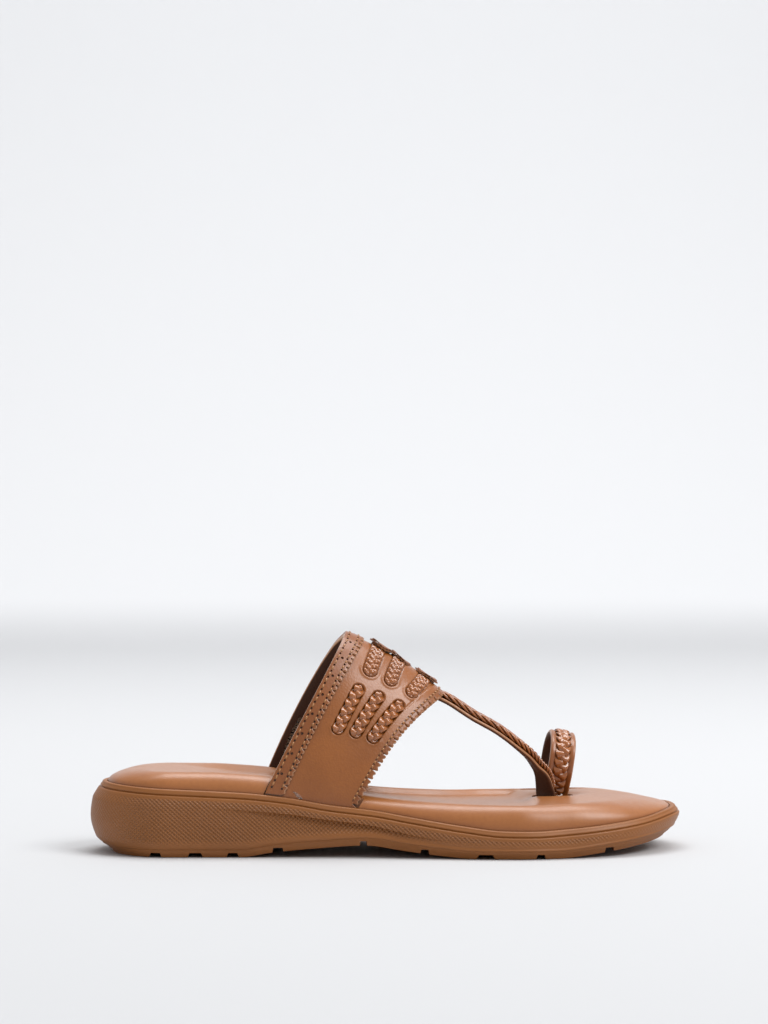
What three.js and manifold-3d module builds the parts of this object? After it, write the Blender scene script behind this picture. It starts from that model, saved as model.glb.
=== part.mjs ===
// Toe ring sandal of the kolhapuri kind, right shoe, in millimetres.
// The toe points along +X, the big toe side along +Y, and the sole stands on z = 0.
import * as THREE from 'three';
import { mergeVertices } from 'three/addons/utils/BufferGeometryUtils.js';
import Module from 'manifold-3d';

const wasm = await Module();
wasm.setup();

// Driving sizes of the sole.
const LENGTH = 253;
const BALL_WIDTH = 92;
const HEEL_RIM = 30.4;
const BULGE = 10;
const ARCH_RISE = 5;
const TOE_SPRING = 6.2;
const TREAD = 3.5;
const TREAD_STEP = 0.5;
const ARCH_CUT = 1.6;
const BEAD_DROP = 2.4;
const BEAD_DEPTH = 0.45;
const RIM_LIP = 1.6;
const TRAY = 5;
const GAP = 0.3;
const GROOVE_DEPTH = 2;

// Driving sizes of the footbed.
const FOOT_REST = 35.3;
const DISH = 2.4;
const DISH_FRONT = 68;
const SHOULDER = 7;
const HEEL_SHOULDER = 11;
const TOE_SHOULDER = 17;
const SLOT_LENGTH = 18.2;
const SLOT_WIDTH = 11.4;
const SLOT_DEPTH = 9;
const SLOT_X = 0.2866 * LENGTH;
const SLOT_Y = 0.1217 * BALL_WIDTH;
const SLIT_LENGTH = 15.7;
const SLIT_WIDTH = 4.4;
const SLIT_Y = 0.4033 * BALL_WIDTH;
const HEEL_SPINE = 31;
const TOE_SPINE = 36;

// Driving sizes of the band over the instep.
const WALL = 2.2;
const BAND_BACK = -54.2;
const BAND_FOOT = 34.5;
const INNER_LEAN = 2.7;
const CREST_BACK = -18.4;
const CREST_LENGTH = 39.8;
const CREST_BOW = 2.4;
const CREST_Y = 3;
const INSTEP = 89.8;
const THROAT = 66.8;
const BACK_SWEEP = 1.08;
const FRONT_SWEEP = 1.18;
const FRONT_HOLLOW = 5;
const REBATE = 1.45;
const REBATE_SHARE = 0.05;

// Driving sizes of the trims, braids and rosettes.
const TRIM_WIDTH = 0.2;
const TRIM_THICK = 0.9;
const REAR_TOOTH = 4.4;
const FRONT_TOOTH = 3.95;
const TOOTH_SHARE = 0.045;
const EDGE_STRIP = 0.09;
const PLAIT_WIDTH = 5.2;
const STRAP_PLAIT = 6.2;
const PLAIT_PITCH = 3.9;
const PLAIT_RISE = 0.9;
const CREST_RISE = 0.45;
const POCKET_FLOOR = 1;
const POCKET_ROOM = 0.4;
const ROSETTE = 11.6;
const ROSETTE_THICK = 0.6;

// Driving sizes of the toe strap and the toe ring.
const STRAP_THICK = 1.8;
const STRAP_WIDTH = 10;
const STRAP_LEAD = 0.8;
const RING_WIDTH = 11;
const RING_SPAN = 29;
const RING_TOP = 46.3;
const RING_X = 0.2933 * LENGTH;
const RING_Y = 0.2804 * BALL_WIDTH;
const RING_LEAN = 0.165;
const RING_FOOT = 22;
const RING_RIM = 2.2;
const RING_RIM_RISE = 0.6;
const RING_PLAIT = 5.6;

// How many steps the long curves are built from.
const AROUND = 72;
const BAND_STEPS = 38;

// Sole outline seen from above. at is a share of LENGTH, centre and half are shares of BALL_WIDTH.
const OUTLINE = [
  { at: 0.0, centre: 0.0, half: 0.335 },
  { at: 0.15, centre: -0.005, half: 0.342 },
  { at: 0.3, centre: -0.02, half: 0.345 },
  { at: 0.42, centre: -0.03, half: 0.355 },
  { at: 0.55, centre: -0.02, half: 0.42 },
  { at: 0.66, centre: -0.002, half: 0.487 },
  { at: 0.72, centre: 0.0, half: 0.5 },
  { at: 0.8, centre: 0.015, half: 0.482 },
  { at: 0.9, centre: 0.045, half: 0.46 },
  { at: 1.0, centre: 0.07, half: 0.42 },
];
const HEEL_ROUND = 0.13;
const TOE_ROUND = 0.2;
const TOE_POWER = 2.3;

// Height of the sole's rim along the shoe, as a share of HEEL_RIM.
const RIM = [
  { at: 0.0, high: 1.0 },
  { at: 0.03, high: 0.985 },
  { at: 0.126, high: 0.941 },
  { at: 0.194, high: 0.914 },
  { at: 0.262, high: 0.882 },
  { at: 0.33, high: 0.819 },
  { at: 0.396, high: 0.724 },
  { at: 0.48, high: 0.638 },
  { at: 0.519, high: 0.58 },
  { at: 0.616, high: 0.45 },
  { at: 0.685, high: 0.385 },
  { at: 0.735, high: 0.38 },
  { at: 0.787, high: 0.401 },
  { at: 0.856, high: 0.447 },
  { at: 0.922, high: 0.507 },
  { at: 1.0, high: 0.6 },
];

// Height of the sole's underside. arch is a share of ARCH_RISE, spring a share of TOE_SPRING.
const UNDERSIDE = [
  { at: 0.0, arch: 0.0, spring: 0.0 },
  { at: 0.25, arch: 0.0, spring: 0.0 },
  { at: 0.3, arch: 0.36, spring: 0.0 },
  { at: 0.36, arch: 0.68, spring: 0.0 },
  { at: 0.46, arch: 1.0, spring: 0.0 },
  { at: 0.52, arch: 0.6, spring: 0.0 },
  { at: 0.585, arch: 0.2, spring: 0.0 },
  { at: 0.64, arch: 0.0, spring: 0.0 },
  { at: 0.77, arch: 0.0, spring: 0.0 },
  { at: 0.85, arch: 0.0, spring: 0.3 },
  { at: 0.92, arch: 0.0, spring: 0.62 },
  { at: 1.0, arch: 0.0, spring: 1.0 },
];

// How far the sole's wall stands in from its widest line, as shares of BULGE.
// at is a share of the wall's height, heel, side and toe are the three places it is read for.
const SOLE_WALL = [
  { at: 0.0, heel: 1.0, side: 0.3, toe: 0.9 },
  { at: 0.06, heel: 0.8, side: 0.2, toe: 0.68 },
  { at: 0.14, heel: 0.51, side: 0.14, toe: 0.5 },
  { at: 0.22, heel: 0.26, side: 0.07, toe: 0.38 },
  { at: 0.5, heel: 0.0, side: 0.0, toe: 0.1 },
  { at: 0.74, heel: 0.08, side: 0.02, toe: 0.0 },
  { at: 0.86, heel: 0.26, side: 0.06, toe: 0.08 },
  { at: 0.94, heel: 0.42, side: 0.11, toe: 0.18 },
  { at: 1.0, heel: 0.55, side: 0.15, toe: 0.26 },
];

// Line of the cut under the arch. line is a share of the wall's height, deep a share of ARCH_CUT.
const ARCH_LINE = [
  { at: 0.0, line: 0.74, deep: 0.0 },
  { at: 0.2, line: 0.73, deep: 0.0 },
  { at: 0.296, line: 0.69, deep: 0.55 },
  { at: 0.36, line: 0.66, deep: 0.9 },
  { at: 0.43, line: 0.6, deep: 1.0 },
  { at: 0.5, line: 0.52, deep: 0.8 },
  { at: 0.545, line: 0.47, deep: 0.4 },
  { at: 0.6, line: 0.46, deep: 0.0 },
  { at: 1.0, line: 0.5, deep: 0.0 },
];

// Height of the footbed's shoulder along the shoe, as a share of FOOT_REST.
const REST = [
  { at: 0.0, high: 1.0 },
  { at: 0.2, high: 0.992 },
  { at: 0.26, high: 0.969 },
  { at: 0.3, high: 0.943 },
  { at: 0.38, high: 0.83 },
  { at: 0.454, high: 0.72 },
  { at: 0.518, high: 0.671 },
  { at: 0.57, high: 0.643 },
  { at: 0.65, high: 0.618 },
  { at: 0.72, high: 0.612 },
  { at: 0.85, high: 0.626 },
  { at: 0.92, high: 0.615 },
  { at: 1.0, high: 0.6 },
];

// Grooves across the tread. at is a share of LENGTH from the middle, wide a share of LENGTH.
const GROOVES = [
  { at: -0.3881, wide: 0.0198 },
  { at: -0.3225, wide: 0.0249 },
  { at: -0.2608, wide: 0.0198 },
  { at: -0.1865, wide: 0.0198 },
  { at: -0.0458, wide: 0.0138 },
  { at: 0.0542, wide: 0.0158 },
  { at: 0.1530, wide: 0.0296 },
  { at: 0.2435, wide: 0.0158 },
  { at: 0.3605, wide: 0.0178 },
];

// Braids let into the band, each from one end to the other. girth is a share of each half girth,
// outer side negative, across a share of the band's width, and bow how far the middle lies back.
// plaits counts the strands and wide is a share of PLAIT_WIDTH.
const BRAIDS = [
  { name: 'outer_rear', girth: [-0.588, -0.307], across: [0.448, 0.412], bow: 0, plaits: 6, wide: 1 },
  { name: 'outer_middle', girth: [-0.577, -0.297], across: [0.648, 0.638], bow: 0, plaits: 6, wide: 1 },
  { name: 'outer_front', girth: [-0.573, -0.289], across: [0.845, 0.86], bow: 0, plaits: 6, wide: 1 },
  { name: 'crest_rear', girth: [-0.262, 0.262], across: [0.42, 0.42], bow: 0.07, plaits: 10, wide: 1.2385 },
  { name: 'crest_middle', girth: [-0.257, 0.257], across: [0.65, 0.65], bow: 0.08, plaits: 10, wide: 1.1308 },
  { name: 'crest_front', girth: [-0.235, 0.235], across: [0.862, 0.862], bow: 0.02, plaits: 9, wide: 1.08 },
  { name: 'inner_rear', girth: [0.307, 0.588], across: [0.412, 0.448], bow: 0, plaits: 6, wide: 1 },
  { name: 'inner_middle', girth: [0.297, 0.577], across: [0.638, 0.648], bow: 0, plaits: 6, wide: 1 },
  { name: 'inner_front', girth: [0.289, 0.573], across: [0.86, 0.845], bow: 0, plaits: 6, wide: 1 },
];

// Rosettes along the crest. across is a share of the band's width, tilt how fast the front rises.
const ROSETTES = [
  { name: 'rear', across: 0.38, tilt: -0.11 },
  { name: 'middle', across: 0.59, tilt: -0.13 },
  { name: 'front', across: 0.85, tilt: 0.05 },
];

// Path of the toe strap. x is a share of LENGTH, y of BALL_WIDTH, high of INSTEP, wide of STRAP_WIDTH.
// twist is in degrees, turning the strap's outer edge forward.
const TOE_STRAP = [
  { x: 0.1032, y: 0.033, high: 0.667, wide: 1.0, twist: 0 },
  { x: 0.1443, y: 0.034, high: 0.606, wide: 0.98, twist: 0 },
  { x: 0.1854, y: 0.042, high: 0.548, wide: 0.95, twist: 0 },
  { x: 0.2228, y: 0.055, high: 0.472, wide: 0.92, twist: 2 },
  { x: 0.2432, y: 0.065, high: 0.422, wide: 0.9, twist: 6 },
  { x: 0.2552, y: 0.072, high: 0.379, wide: 0.88, twist: 13 },
  { x: 0.2643, y: 0.078, high: 0.347, wide: 0.86, twist: 29 },
  { x: 0.2686, y: 0.083, high: 0.318, wide: 0.85, twist: 41 },
  { x: 0.2715, y: 0.087, high: 0.278, wide: 0.84, twist: 56 },
  { x: 0.2737, y: 0.089, high: 0.238, wide: 0.84, twist: 75 },
  { x: 0.2745, y: 0.09, high: 0.167, wide: 0.84, twist: 85 },
];

// Loop of the toe ring, seen along the shoe. across is a share of RING_SPAN, high of RING_TOP.
const RING_LOOP = [
  { across: -0.38, high: 0.31 },
  { across: -0.385, high: 0.46 },
  { across: -0.44, high: 0.57 },
  { across: -0.5, high: 0.69 },
  { across: -0.485, high: 0.81 },
  { across: -0.39, high: 0.915 },
  { across: -0.2, high: 0.98 },
  { across: 0.0, high: 1.0 },
  { across: 0.2, high: 0.98 },
  { across: 0.39, high: 0.915 },
  { across: 0.485, high: 0.81 },
  { across: 0.5, high: 0.69 },
  { across: 0.44, high: 0.57 },
  { across: 0.385, high: 0.46 },
  { across: 0.38, high: 0.31 },
];

// Read one column of a table along its at column, on a smooth curve that keeps its highs and lows.
function between(rows, key, at) {
  const last = rows.length - 1;
  if (at <= rows[0].at) return rows[0][key];
  if (at >= rows[last].at) return rows[last][key];
  let k = 0;
  while (rows[k + 1].at < at) k += 1;
  const rate = (i) => (rows[i + 1][key] - rows[i][key]) / (rows[i + 1].at - rows[i].at);
  const slope = (i) => {
    if (i === 0 || i === last) return 0;
    const before = rate(i - 1);
    const after = rate(i);
    return before * after <= 0 ? 0 : (2 * before * after) / (before + after);
  };
  const step = rows[k + 1].at - rows[k].at;
  const t = (at - rows[k].at) / step;
  const s = 1 - t;
  const ends = rows[k][key] * (1 + 2 * t) * s * s + rows[k + 1][key] * t * t * (3 - 2 * t);
  return ends + step * (slope(k) * t * s * s - slope(k + 1) * t * t * s);
}

const smooth = (t) => {
  const held = Math.min(1, Math.max(0, t));
  return held * held * (3 - 2 * held);
};
const mix = (a, b, t) => a + (b - a) * t;
const share = (x) => x / LENGTH + 0.5;
const rimHeight = (x) => HEEL_RIM * between(RIM, 'high', share(x));
const restHeight = (x) => FOOT_REST * between(REST, 'high', share(x));
const underHeight = (x) => ARCH_RISE * between(UNDERSIDE, 'arch', share(x))
  + TOE_SPRING * between(UNDERSIDE, 'spring', share(x));
const sideY = (x, side) => BALL_WIDTH
  * (between(OUTLINE, 'centre', share(x)) + side * between(OUTLINE, 'half', share(x)));
const centreY = (x) => BALL_WIDTH * between(OUTLINE, 'centre', share(x));

// A point on the sole's widest line. turn runs from the heel tip along the outer side.
function outline(turn) {
  const at = (1 - Math.cos(turn)) / 2;
  const side = turn > 0 && turn < Math.PI ? -1 : 1;
  const heel = Math.max(0, (HEEL_ROUND - at) / HEEL_ROUND);
  const toe = Math.max(0, (at - 1 + TOE_ROUND) / TOE_ROUND);
  const round = Math.sqrt(Math.max(0, 1 - heel * heel))
    * Math.max(0, 1 - toe ** TOE_POWER) ** (1 / TOE_POWER);
  const half = between(OUTLINE, 'half', at) * round;
  return [LENGTH * (at - 0.5), BALL_WIDTH * (between(OUTLINE, 'centre', at) + side * half)];
}

// Direction out of the sole's widest line at a turn.
function outward(turn) {
  const step = 0.02;
  const before = outline(turn - step);
  const after = outline(turn + step);
  const run = [after[0] - before[0], after[1] - before[1]];
  const size = Math.hypot(run[0], run[1]);
  return [run[1] / size, -run[0] / size];
}

// Heel, side and toe weights of a turn, from the way its wall faces.
function faces(turn) {
  const ahead = outward(turn)[0];
  return { heel: Math.max(0, -ahead) ** 1.5, toe: Math.max(0, ahead) ** 1.5 };
}

// How far the sole's wall stands in at a turn and a share of the wall's height.
function wallInset(turn, at) {
  const weight = faces(turn);
  const side = between(SOLE_WALL, 'side', at);
  const heel = between(SOLE_WALL, 'heel', at) - side;
  const toe = between(SOLE_WALL, 'toe', at) - side;
  return BULGE * (side + heel * weight.heel + toe * weight.toe);
}

// A point set in from the widest line, its height read from a function of x.
function inset(turn, depth, height) {
  const edge = outline(turn);
  const out = outward(turn);
  const x = edge[0] - out[0] * depth;
  return [x, edge[1] - out[1] * depth, height(x)];
}

// The middle line a ring closes on, held short of both tips.
function spine(turn, heelEnd, toeEnd, height) {
  const edge = outline(turn)[0];
  const x = Math.min(LENGTH / 2 - toeEnd, Math.max(-LENGTH / 2 + heelEnd, edge));
  return [x, centreY(x), height(x)];
}

const turns = Array.from({ length: AROUND }, (_, i) => (i / AROUND) * 2 * Math.PI);
const ring = (place) => turns.map((turn) => place(turn));

// Turn a list of triangles into a closed geometry, dropping any that shrink to a line.
function closed(points, faceList) {
  const loose = new THREE.BufferGeometry();
  loose.setAttribute('position', new THREE.Float32BufferAttribute(points.flat(), 3));
  loose.setIndex(faceList.flat());
  const merged = mergeVertices(loose, 0.001);
  const index = merged.getIndex().array;
  const kept = [];
  for (let i = 0; i < index.length; i += 3) {
    const [a, b, c] = [index[i], index[i + 1], index[i + 2]];
    if (a !== b && b !== c && c !== a) kept.push(a, b, c);
  }
  merged.setIndex(kept);
  return merged;
}

// Skin over rings of equal count, each ring running the same way round.
function shell(rings) {
  const count = rings[0].length;
  const faceList = [];
  for (let r = 0; r < rings.length - 1; r += 1) {
    for (let i = 0; i < count; i += 1) {
      const next = (i + 1) % count;
      const a = r * count + i;
      const b = r * count + next;
      faceList.push([a, b, b + count], [a, b + count, a + count]);
    }
  }
  return closed(rings.flat(), faceList);
}

// Add, subtract and scale of plain points.
const plus = (a, b, k = 1) => [a[0] + b[0] * k, a[1] + b[1] * k, a[2] + b[2] * k];
const dot = (a, b) => a[0] * b[0] + a[1] * b[1] + a[2] * b[2];
const cross = (a, b) => [
  a[1] * b[2] - a[2] * b[1],
  a[2] * b[0] - a[0] * b[2],
  a[0] * b[1] - a[1] * b[0],
];
const unit = (a) => {
  const size = Math.hypot(...a);
  return [a[0] / size, a[1] / size, a[2] / size];
};

// Middle of a loop, and the direction it winds about.
const middle = (loop) => loop.reduce((sum, p) => plus(sum, p, 1 / loop.length), [0, 0, 0]);
const winding = (loop) => unit(
  loop.reduce((sum, p, i) => plus(sum, cross(p, loop[(i + 1) % loop.length])), [0, 0, 0]),
);

// Triangles over a flat loop, wound the way the loop runs.
function capFaces(loop) {
  const normal = winding(loop);
  const right = unit(plus(loop[1], loop[0], -1));
  const up = cross(normal, right);
  const flat = loop.map((p) => new THREE.Vector2(dot(p, right), dot(p, up)));
  return THREE.ShapeUtils.triangulateShape(flat, []);
}

// Skin along a run of sections, each a flat loop, with a cap on both ends.
function strip(sections) {
  const ahead = plus(middle(sections[1]), middle(sections[0]), -1);
  const forward = dot(winding(sections[0]), ahead) > 0;
  const loops = forward ? sections : sections.map((loop) => [...loop].reverse());
  const count = loops[0].length;
  const last = (loops.length - 1) * count;
  const faceList = [];
  for (let r = 0; r < loops.length - 1; r += 1) {
    for (let i = 0; i < count; i += 1) {
      const next = (i + 1) % count;
      const a = r * count + i;
      const b = r * count + next;
      faceList.push([a, b, b + count], [a, b + count, a + count]);
    }
  }
  capFaces(loops[0]).forEach(([a, b, c]) => faceList.push([a, c, b]));
  capFaces(loops[loops.length - 1]).forEach(([a, b, c]) => {
    faceList.push([last + a, last + b, last + c]);
  });
  return closed(loops.flat(), faceList);
}

// Carry a geometry into the boolean kernel and back.
function solid(geometry) {
  return new wasm.Manifold(new wasm.Mesh({
    numProp: 3,
    vertProperties: new Float32Array(geometry.getAttribute('position').array),
    triVerts: new Uint32Array(geometry.getIndex().array),
  }));
}
function geometryOf(body) {
  const mesh = body.getMesh();
  const points = [];
  for (let i = 0; i < mesh.vertProperties.length; i += mesh.numProp) {
    points.push(Array.from(mesh.vertProperties.slice(i, i + 3)));
  }
  const faceList = [];
  for (let i = 0; i < mesh.triVerts.length; i += 3) {
    faceList.push(Array.from(mesh.triVerts.slice(i, i + 3)));
  }
  return closed(points, faceList);
}

// The outsole: a cupped unit sole with a bead under its rim, an arch cut and a tread step.
function makeOutsole() {
  const wallPoint = (turn, at, extra = 0) => {
    const depth = wallInset(turn, at) + extra;
    return inset(turn, depth, (x) => mix(underHeight(x), rimHeight(x), at));
  };
  const wallHigh = (turn) => {
    const x = outline(turn)[0];
    return rimHeight(x) - underHeight(x);
  };
  const byShare = (at) => ring((turn) => wallPoint(turn, at));
  const byHeight = (high, extra) => ring((turn) => wallPoint(turn, high / wallHigh(turn), extra));
  const archLine = (turn) => between(ARCH_LINE, 'line', share(outline(turn)[0]));
  const archDeep = (turn) => ARCH_CUT * between(ARCH_LINE, 'deep', share(outline(turn)[0]));
  const underArch = (mixed) => ring((turn) => {
    const at = mix(TREAD / wallHigh(turn), archLine(turn), mixed);
    return wallPoint(turn, at, archDeep(turn) * smooth(mixed));
  });
  const lower = (turn, drop, extra) => wallPoint(turn, 1 - drop / wallHigh(turn), extra);
  const trayWall = (turn) => wallInset(turn, 1) + RIM_LIP;
  const trayFloor = (x) => rimHeight(x) - TRAY;
  return shell([
    ring((turn) => spine(turn, HEEL_SPINE, TOE_SPINE, underHeight)),
    byShare(0),
    byHeight(1.1, 0),
    byHeight(TREAD - 0.25, 0),
    byHeight(TREAD + 0.25, -TREAD_STEP),
    underArch(0.55),
    underArch(0.96),
    ring((turn) => wallPoint(turn, archLine(turn) + 0.03)),
    ring((turn) => lower(turn, mix(wallHigh(turn) * (1 - archLine(turn)), BEAD_DROP, 0.62), 0)),
    ring((turn) => lower(turn, BEAD_DROP + 0.5, 0)),
    ring((turn) => lower(turn, BEAD_DROP, BEAD_DEPTH)),
    ring((turn) => lower(turn, BEAD_DROP - 0.5, 0)),
    ring((turn) => lower(turn, 0.6, 0)),
    ring((turn) => inset(turn, wallInset(turn, 1) + 0.4, rimHeight)),
    ring((turn) => inset(turn, trayWall(turn), rimHeight)),
    ring((turn) => inset(turn, trayWall(turn), trayFloor)),
    ring((turn) => spine(turn, HEEL_SPINE, TOE_SPINE, trayFloor)),
  ]);
}

// A groove across the tread, narrower at its floor.
function groove(row) {
  const x = row.at * LENGTH;
  const half = (row.wide * LENGTH) / 2;
  const top = underHeight(x) + GROOVE_DEPTH;
  const section = (y) => [
    [x - half * 1.35, y, -GROOVE_DEPTH],
    [x + half * 1.35, y, -GROOVE_DEPTH],
    [x + half * 0.75, y, top],
    [x - half * 0.75, y, top],
  ];
  return strip([section(-BALL_WIDTH), section(BALL_WIDTH)]);
}

// How deep the footbed's top is dished at a point.
function dish(x, y, deep) {
  const heel = smooth((x + LENGTH / 2 - 8) / 30);
  const front = smooth((DISH_FRONT - x - ((y - centreY(x)) ** 2) / 120) / 12);
  return DISH * deep * heel * front;
}

// The footbed: a padded board with rounded shoulders and a dished top.
function makeFootbed() {
  const edge = (turn) => wallInset(turn, 1) + RIM_LIP + GAP;
  const radius = (turn) => {
    const weight = faces(turn);
    return SHOULDER + HEEL_SHOULDER * weight.heel + TOE_SHOULDER * weight.toe;
  };
  const shoulder = (degrees) => ring((turn) => {
    const angle = (degrees * Math.PI) / 180;
    const depth = edge(turn) + radius(turn) * (1 - Math.cos(angle));
    return inset(turn, depth, (x) => {
      const base = rimHeight(x) - 0.4;
      return base + (restHeight(x) - base) * Math.sin(angle);
    });
  });
  const top = (more, deep) => ring((turn) => {
    const point = inset(turn, edge(turn) + radius(turn) + more, restHeight);
    return [point[0], point[1], point[2] - dish(point[0], point[1], deep)];
  });
  const floor = (x) => rimHeight(x) - TRAY + GAP;
  const middleLine = ring((turn) => {
    const point = spine(turn, HEEL_SPINE, TOE_SPINE, restHeight);
    return [point[0], point[1], point[2] - dish(point[0], point[1], 1)];
  });
  return shell([
    ring((turn) => spine(turn, HEEL_SPINE, TOE_SPINE, floor)),
    ring((turn) => inset(turn, edge(turn), floor)),
    shoulder(0),
    shoulder(30),
    shoulder(55),
    shoulder(74),
    shoulder(90),
    top(2.4, 0.3),
    top(5.5, 0.85),
    middleLine,
  ]);
}

// A lens shaped slot, straight down into the footbed.
function slot(x, y, long, wide) {
  const level = (z) => [
    [x - long / 2, y, z],
    [x - long * 0.44, y - wide * 0.33, z],
    [x - long * 0.3, y - wide / 2, z],
    [x + long * 0.3, y - wide / 2, z],
    [x + long * 0.44, y - wide * 0.33, z],
    [x + long / 2, y, z],
    [x + long * 0.44, y + wide * 0.33, z],
    [x + long * 0.3, y + wide / 2, z],
    [x - long * 0.3, y + wide / 2, z],
    [x - long * 0.44, y + wide * 0.33, z],
  ];
  const top = restHeight(x);
  return strip([level(top - SLOT_DEPTH), level(top + SLOT_DEPTH)]);
}

// The band's inner face before it is measured out. a runs from -1 at the outer foot
// over 0 at the crest to 1 at the inner foot, v from 0 at the rear edge to 1 at the front.
function bandCurve(a, v) {
  const side = a < 0 ? -1 : 1;
  const footX = BAND_BACK + BAND_FOOT * v;
  const footY = sideY(footX, side) - side * (BULGE * 0.15 + RIM_LIP + GAP + WALL);
  const footZ = rimHeight(footX) - TRAY + 2 * GAP - Math.max(0, Math.abs(a) - 1) * LENGTH;
  const crestX = CREST_BACK + CREST_LENGTH * v;
  const crestZ = mix(INSTEP, THROAT, v) + 4 * CREST_BOW * v * (1 - v);
  const angle = (Math.min(1, Math.abs(a)) * Math.PI) / 2;
  const up = Math.max(0, Math.cos(angle));
  const sweep = up ** mix(BACK_SWEEP, FRONT_SWEEP, v);
  const hollow = FRONT_HOLLOW * v * Math.sin(2 * angle) ** 2;
  const turned = INNER_LEAN * (1 - 0.6 * v) * Math.sin(2 * angle) * smooth(angle / 0.35);
  return [
    mix(footX, crestX, sweep) - hollow - (side > 0 ? turned : 0),
    mix(CREST_Y, footY, Math.sin(angle)),
    footZ + (crestZ - rimHeight(footX) + TRAY - 2 * GAP) * up,
  ];
}

// Running lengths of both halves of the band's curve at one v, kept once worked out.
const girthCache = new Map();
function girths(v) {
  const key = Math.round(v * 10000);
  if (!girthCache.has(key)) {
    const halves = [-1, 1].map((side) => {
      const run = [0];
      let last = bandCurve(0, v);
      for (let i = 1; i <= 40; i += 1) {
        const next = bandCurve((side * i) / 40, v);
        run.push(run[i - 1] + Math.hypot(...plus(next, last, -1)));
        last = next;
      }
      return run;
    });
    girthCache.set(key, halves);
  }
  return girthCache.get(key);
}
const halfGirth = (v, side) => girths(v)[side < 0 ? 0 : 1][40];

// The same face by share of girth, so that equal steps of u are equal lengths of leather.
function bandInner(u, v) {
  const side = u < 0 ? -1 : 1;
  const run = girths(v)[side < 0 ? 0 : 1];
  const want = Math.abs(u) * run[40];
  if (Math.abs(u) >= 1) return bandCurve(u, v);
  let k = 0;
  while (run[k + 1] < want) k += 1;
  const a = (k + (want - run[k]) / (run[k + 1] - run[k])) / 40;
  return bandCurve(side * a, v);
}
function bandFrame(u, v) {
  const held = Math.max(-0.998, Math.min(0.998, u));
  const alongU = plus(bandInner(held + 0.002, v), bandInner(held - 0.002, v), -1);
  const alongV = plus(bandInner(held, v + 0.002), bandInner(held, v - 0.002), -1);
  const scale = 1 / 0.004;
  return {
    alongU: alongU.map((k) => k * scale),
    alongV: alongV.map((k) => k * scale),
    out: unit(cross(alongV, alongU)),
  };
}
const bandPoint = (u, v, high) => plus(bandInner(u, v), bandFrame(u, v).out, high);

// Share of girth at which a layer of the band comes down to the sole's rim.
function girthAtRim(side, v, high, above) {
  let low = 0.5;
  let top = 1;
  for (let i = 0; i < 30; i += 1) {
    const u = (low + top) / 2;
    const point = bandPoint(side * u, v, high);
    if (point[2] > rimHeight(point[0]) + above) low = u;
    else top = u;
  }
  return side * low;
}

// A run of band sections between two shares of girth.
function bandRun(from, to, steps, loop) {
  const sections = [];
  for (let i = 0; i <= steps; i += 1) sections.push(loop(mix(from, to, i / steps), i));
  return strip(sections);
}
const bandLoop = (u, corners) => corners.map(([v, high]) => bandPoint(u, v, high));

// The band: one wall, thinned under its front edge where the edge strip lies.
function makeBand() {
  const rebate = 1 - REBATE_SHARE;
  return bandRun(-1, 1, BAND_STEPS, (u) => bandLoop(u, [
    [0, WALL], [TRIM_WIDTH, WALL], [0.5, WALL], [0.75, WALL], [1, WALL],
    [1, REBATE], [rebate, REBATE], [rebate, 0],
    [0.75, 0], [0.5, 0], [TRIM_WIDTH, 0], [0, 0],
  ]));
}

// Room in the footbed for the feet of the band and its edge strip.
function bandPocket() {
  const more = 0.015;
  const front = 1 + EDGE_STRIP + more;
  return [[0.6, 1.02], [-1.02, -0.6]].map(([from, to]) => bandRun(from, to, 12, (u) => bandLoop(u, [
    [-more, WALL + GAP], [TRIM_WIDTH, WALL + GAP], [0.5, WALL + GAP], [0.75, WALL + GAP],
    [front, WALL + GAP], [front, -GAP],
    [0.75, -GAP], [0.5, -GAP], [TRIM_WIDTH, -GAP], [-more, -GAP],
  ])));
}

// The trim along the rear edge, its front edge pinked into teeth.
function makeRearTrim() {
  const low = WALL + GAP;
  const high = low + TRIM_THICK;
  const from = girthAtRim(-1, 0.1, low, 0.6);
  const to = girthAtRim(1, 0.1, low, 0.6);
  const length = halfGirth(0.1, -1) * -from + halfGirth(0.1, 1) * to;
  const steps = 2 * Math.round(length / REAR_TOOTH);
  return bandRun(from, to, steps, (u, i) => {
    const edge = TRIM_WIDTH * mix(0.94, 1.14, Math.abs(u)) - (i % 2 === 0 ? TOOTH_SHARE : 0);
    return bandLoop(u, [[0.004, low], [0.004, high], [edge, high], [edge, low]]);
  });
}

// The pinked strip that shows along the front edge, held under the band.
function makeFrontTrim() {
  const length = halfGirth(1, -1) + halfGirth(1, 1);
  const steps = 2 * Math.round((length * 0.97) / FRONT_TOOTH);
  return bandRun(-0.97, 0.97, steps, (u, i) => {
    const tip = EDGE_STRIP * mix(0.6, 1, smooth(Math.abs(u) / 0.6));
    const edge = 1 + tip - (i % 2 === 0 ? TOOTH_SHARE : 0);
    const back = 1 - REBATE_SHARE + 0.012;
    return bandLoop(u, [[back, 0], [back, TRIM_THICK], [edge, TRIM_THICK], [edge, 0]]);
  });
}

// A step in mm across a line on the band, given as shifts of u and v.
function sidestep(u, v, along, mm) {
  const frame = bandFrame(u, v);
  const ahead = plus(frame.alongU.map((k) => k * along[0]), frame.alongV, along[1]);
  const across = unit(cross(frame.out, unit(ahead)));
  const uu = dot(frame.alongU, frame.alongU);
  const uv = dot(frame.alongU, frame.alongV);
  const vv = dot(frame.alongV, frame.alongV);
  const au = dot(across, frame.alongU);
  const av = dot(across, frame.alongV);
  const scale = mm / (uu * vv - uv * uv);
  return [(au * vv - av * uv) * scale, (av * uu - au * uv) * scale];
}

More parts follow.
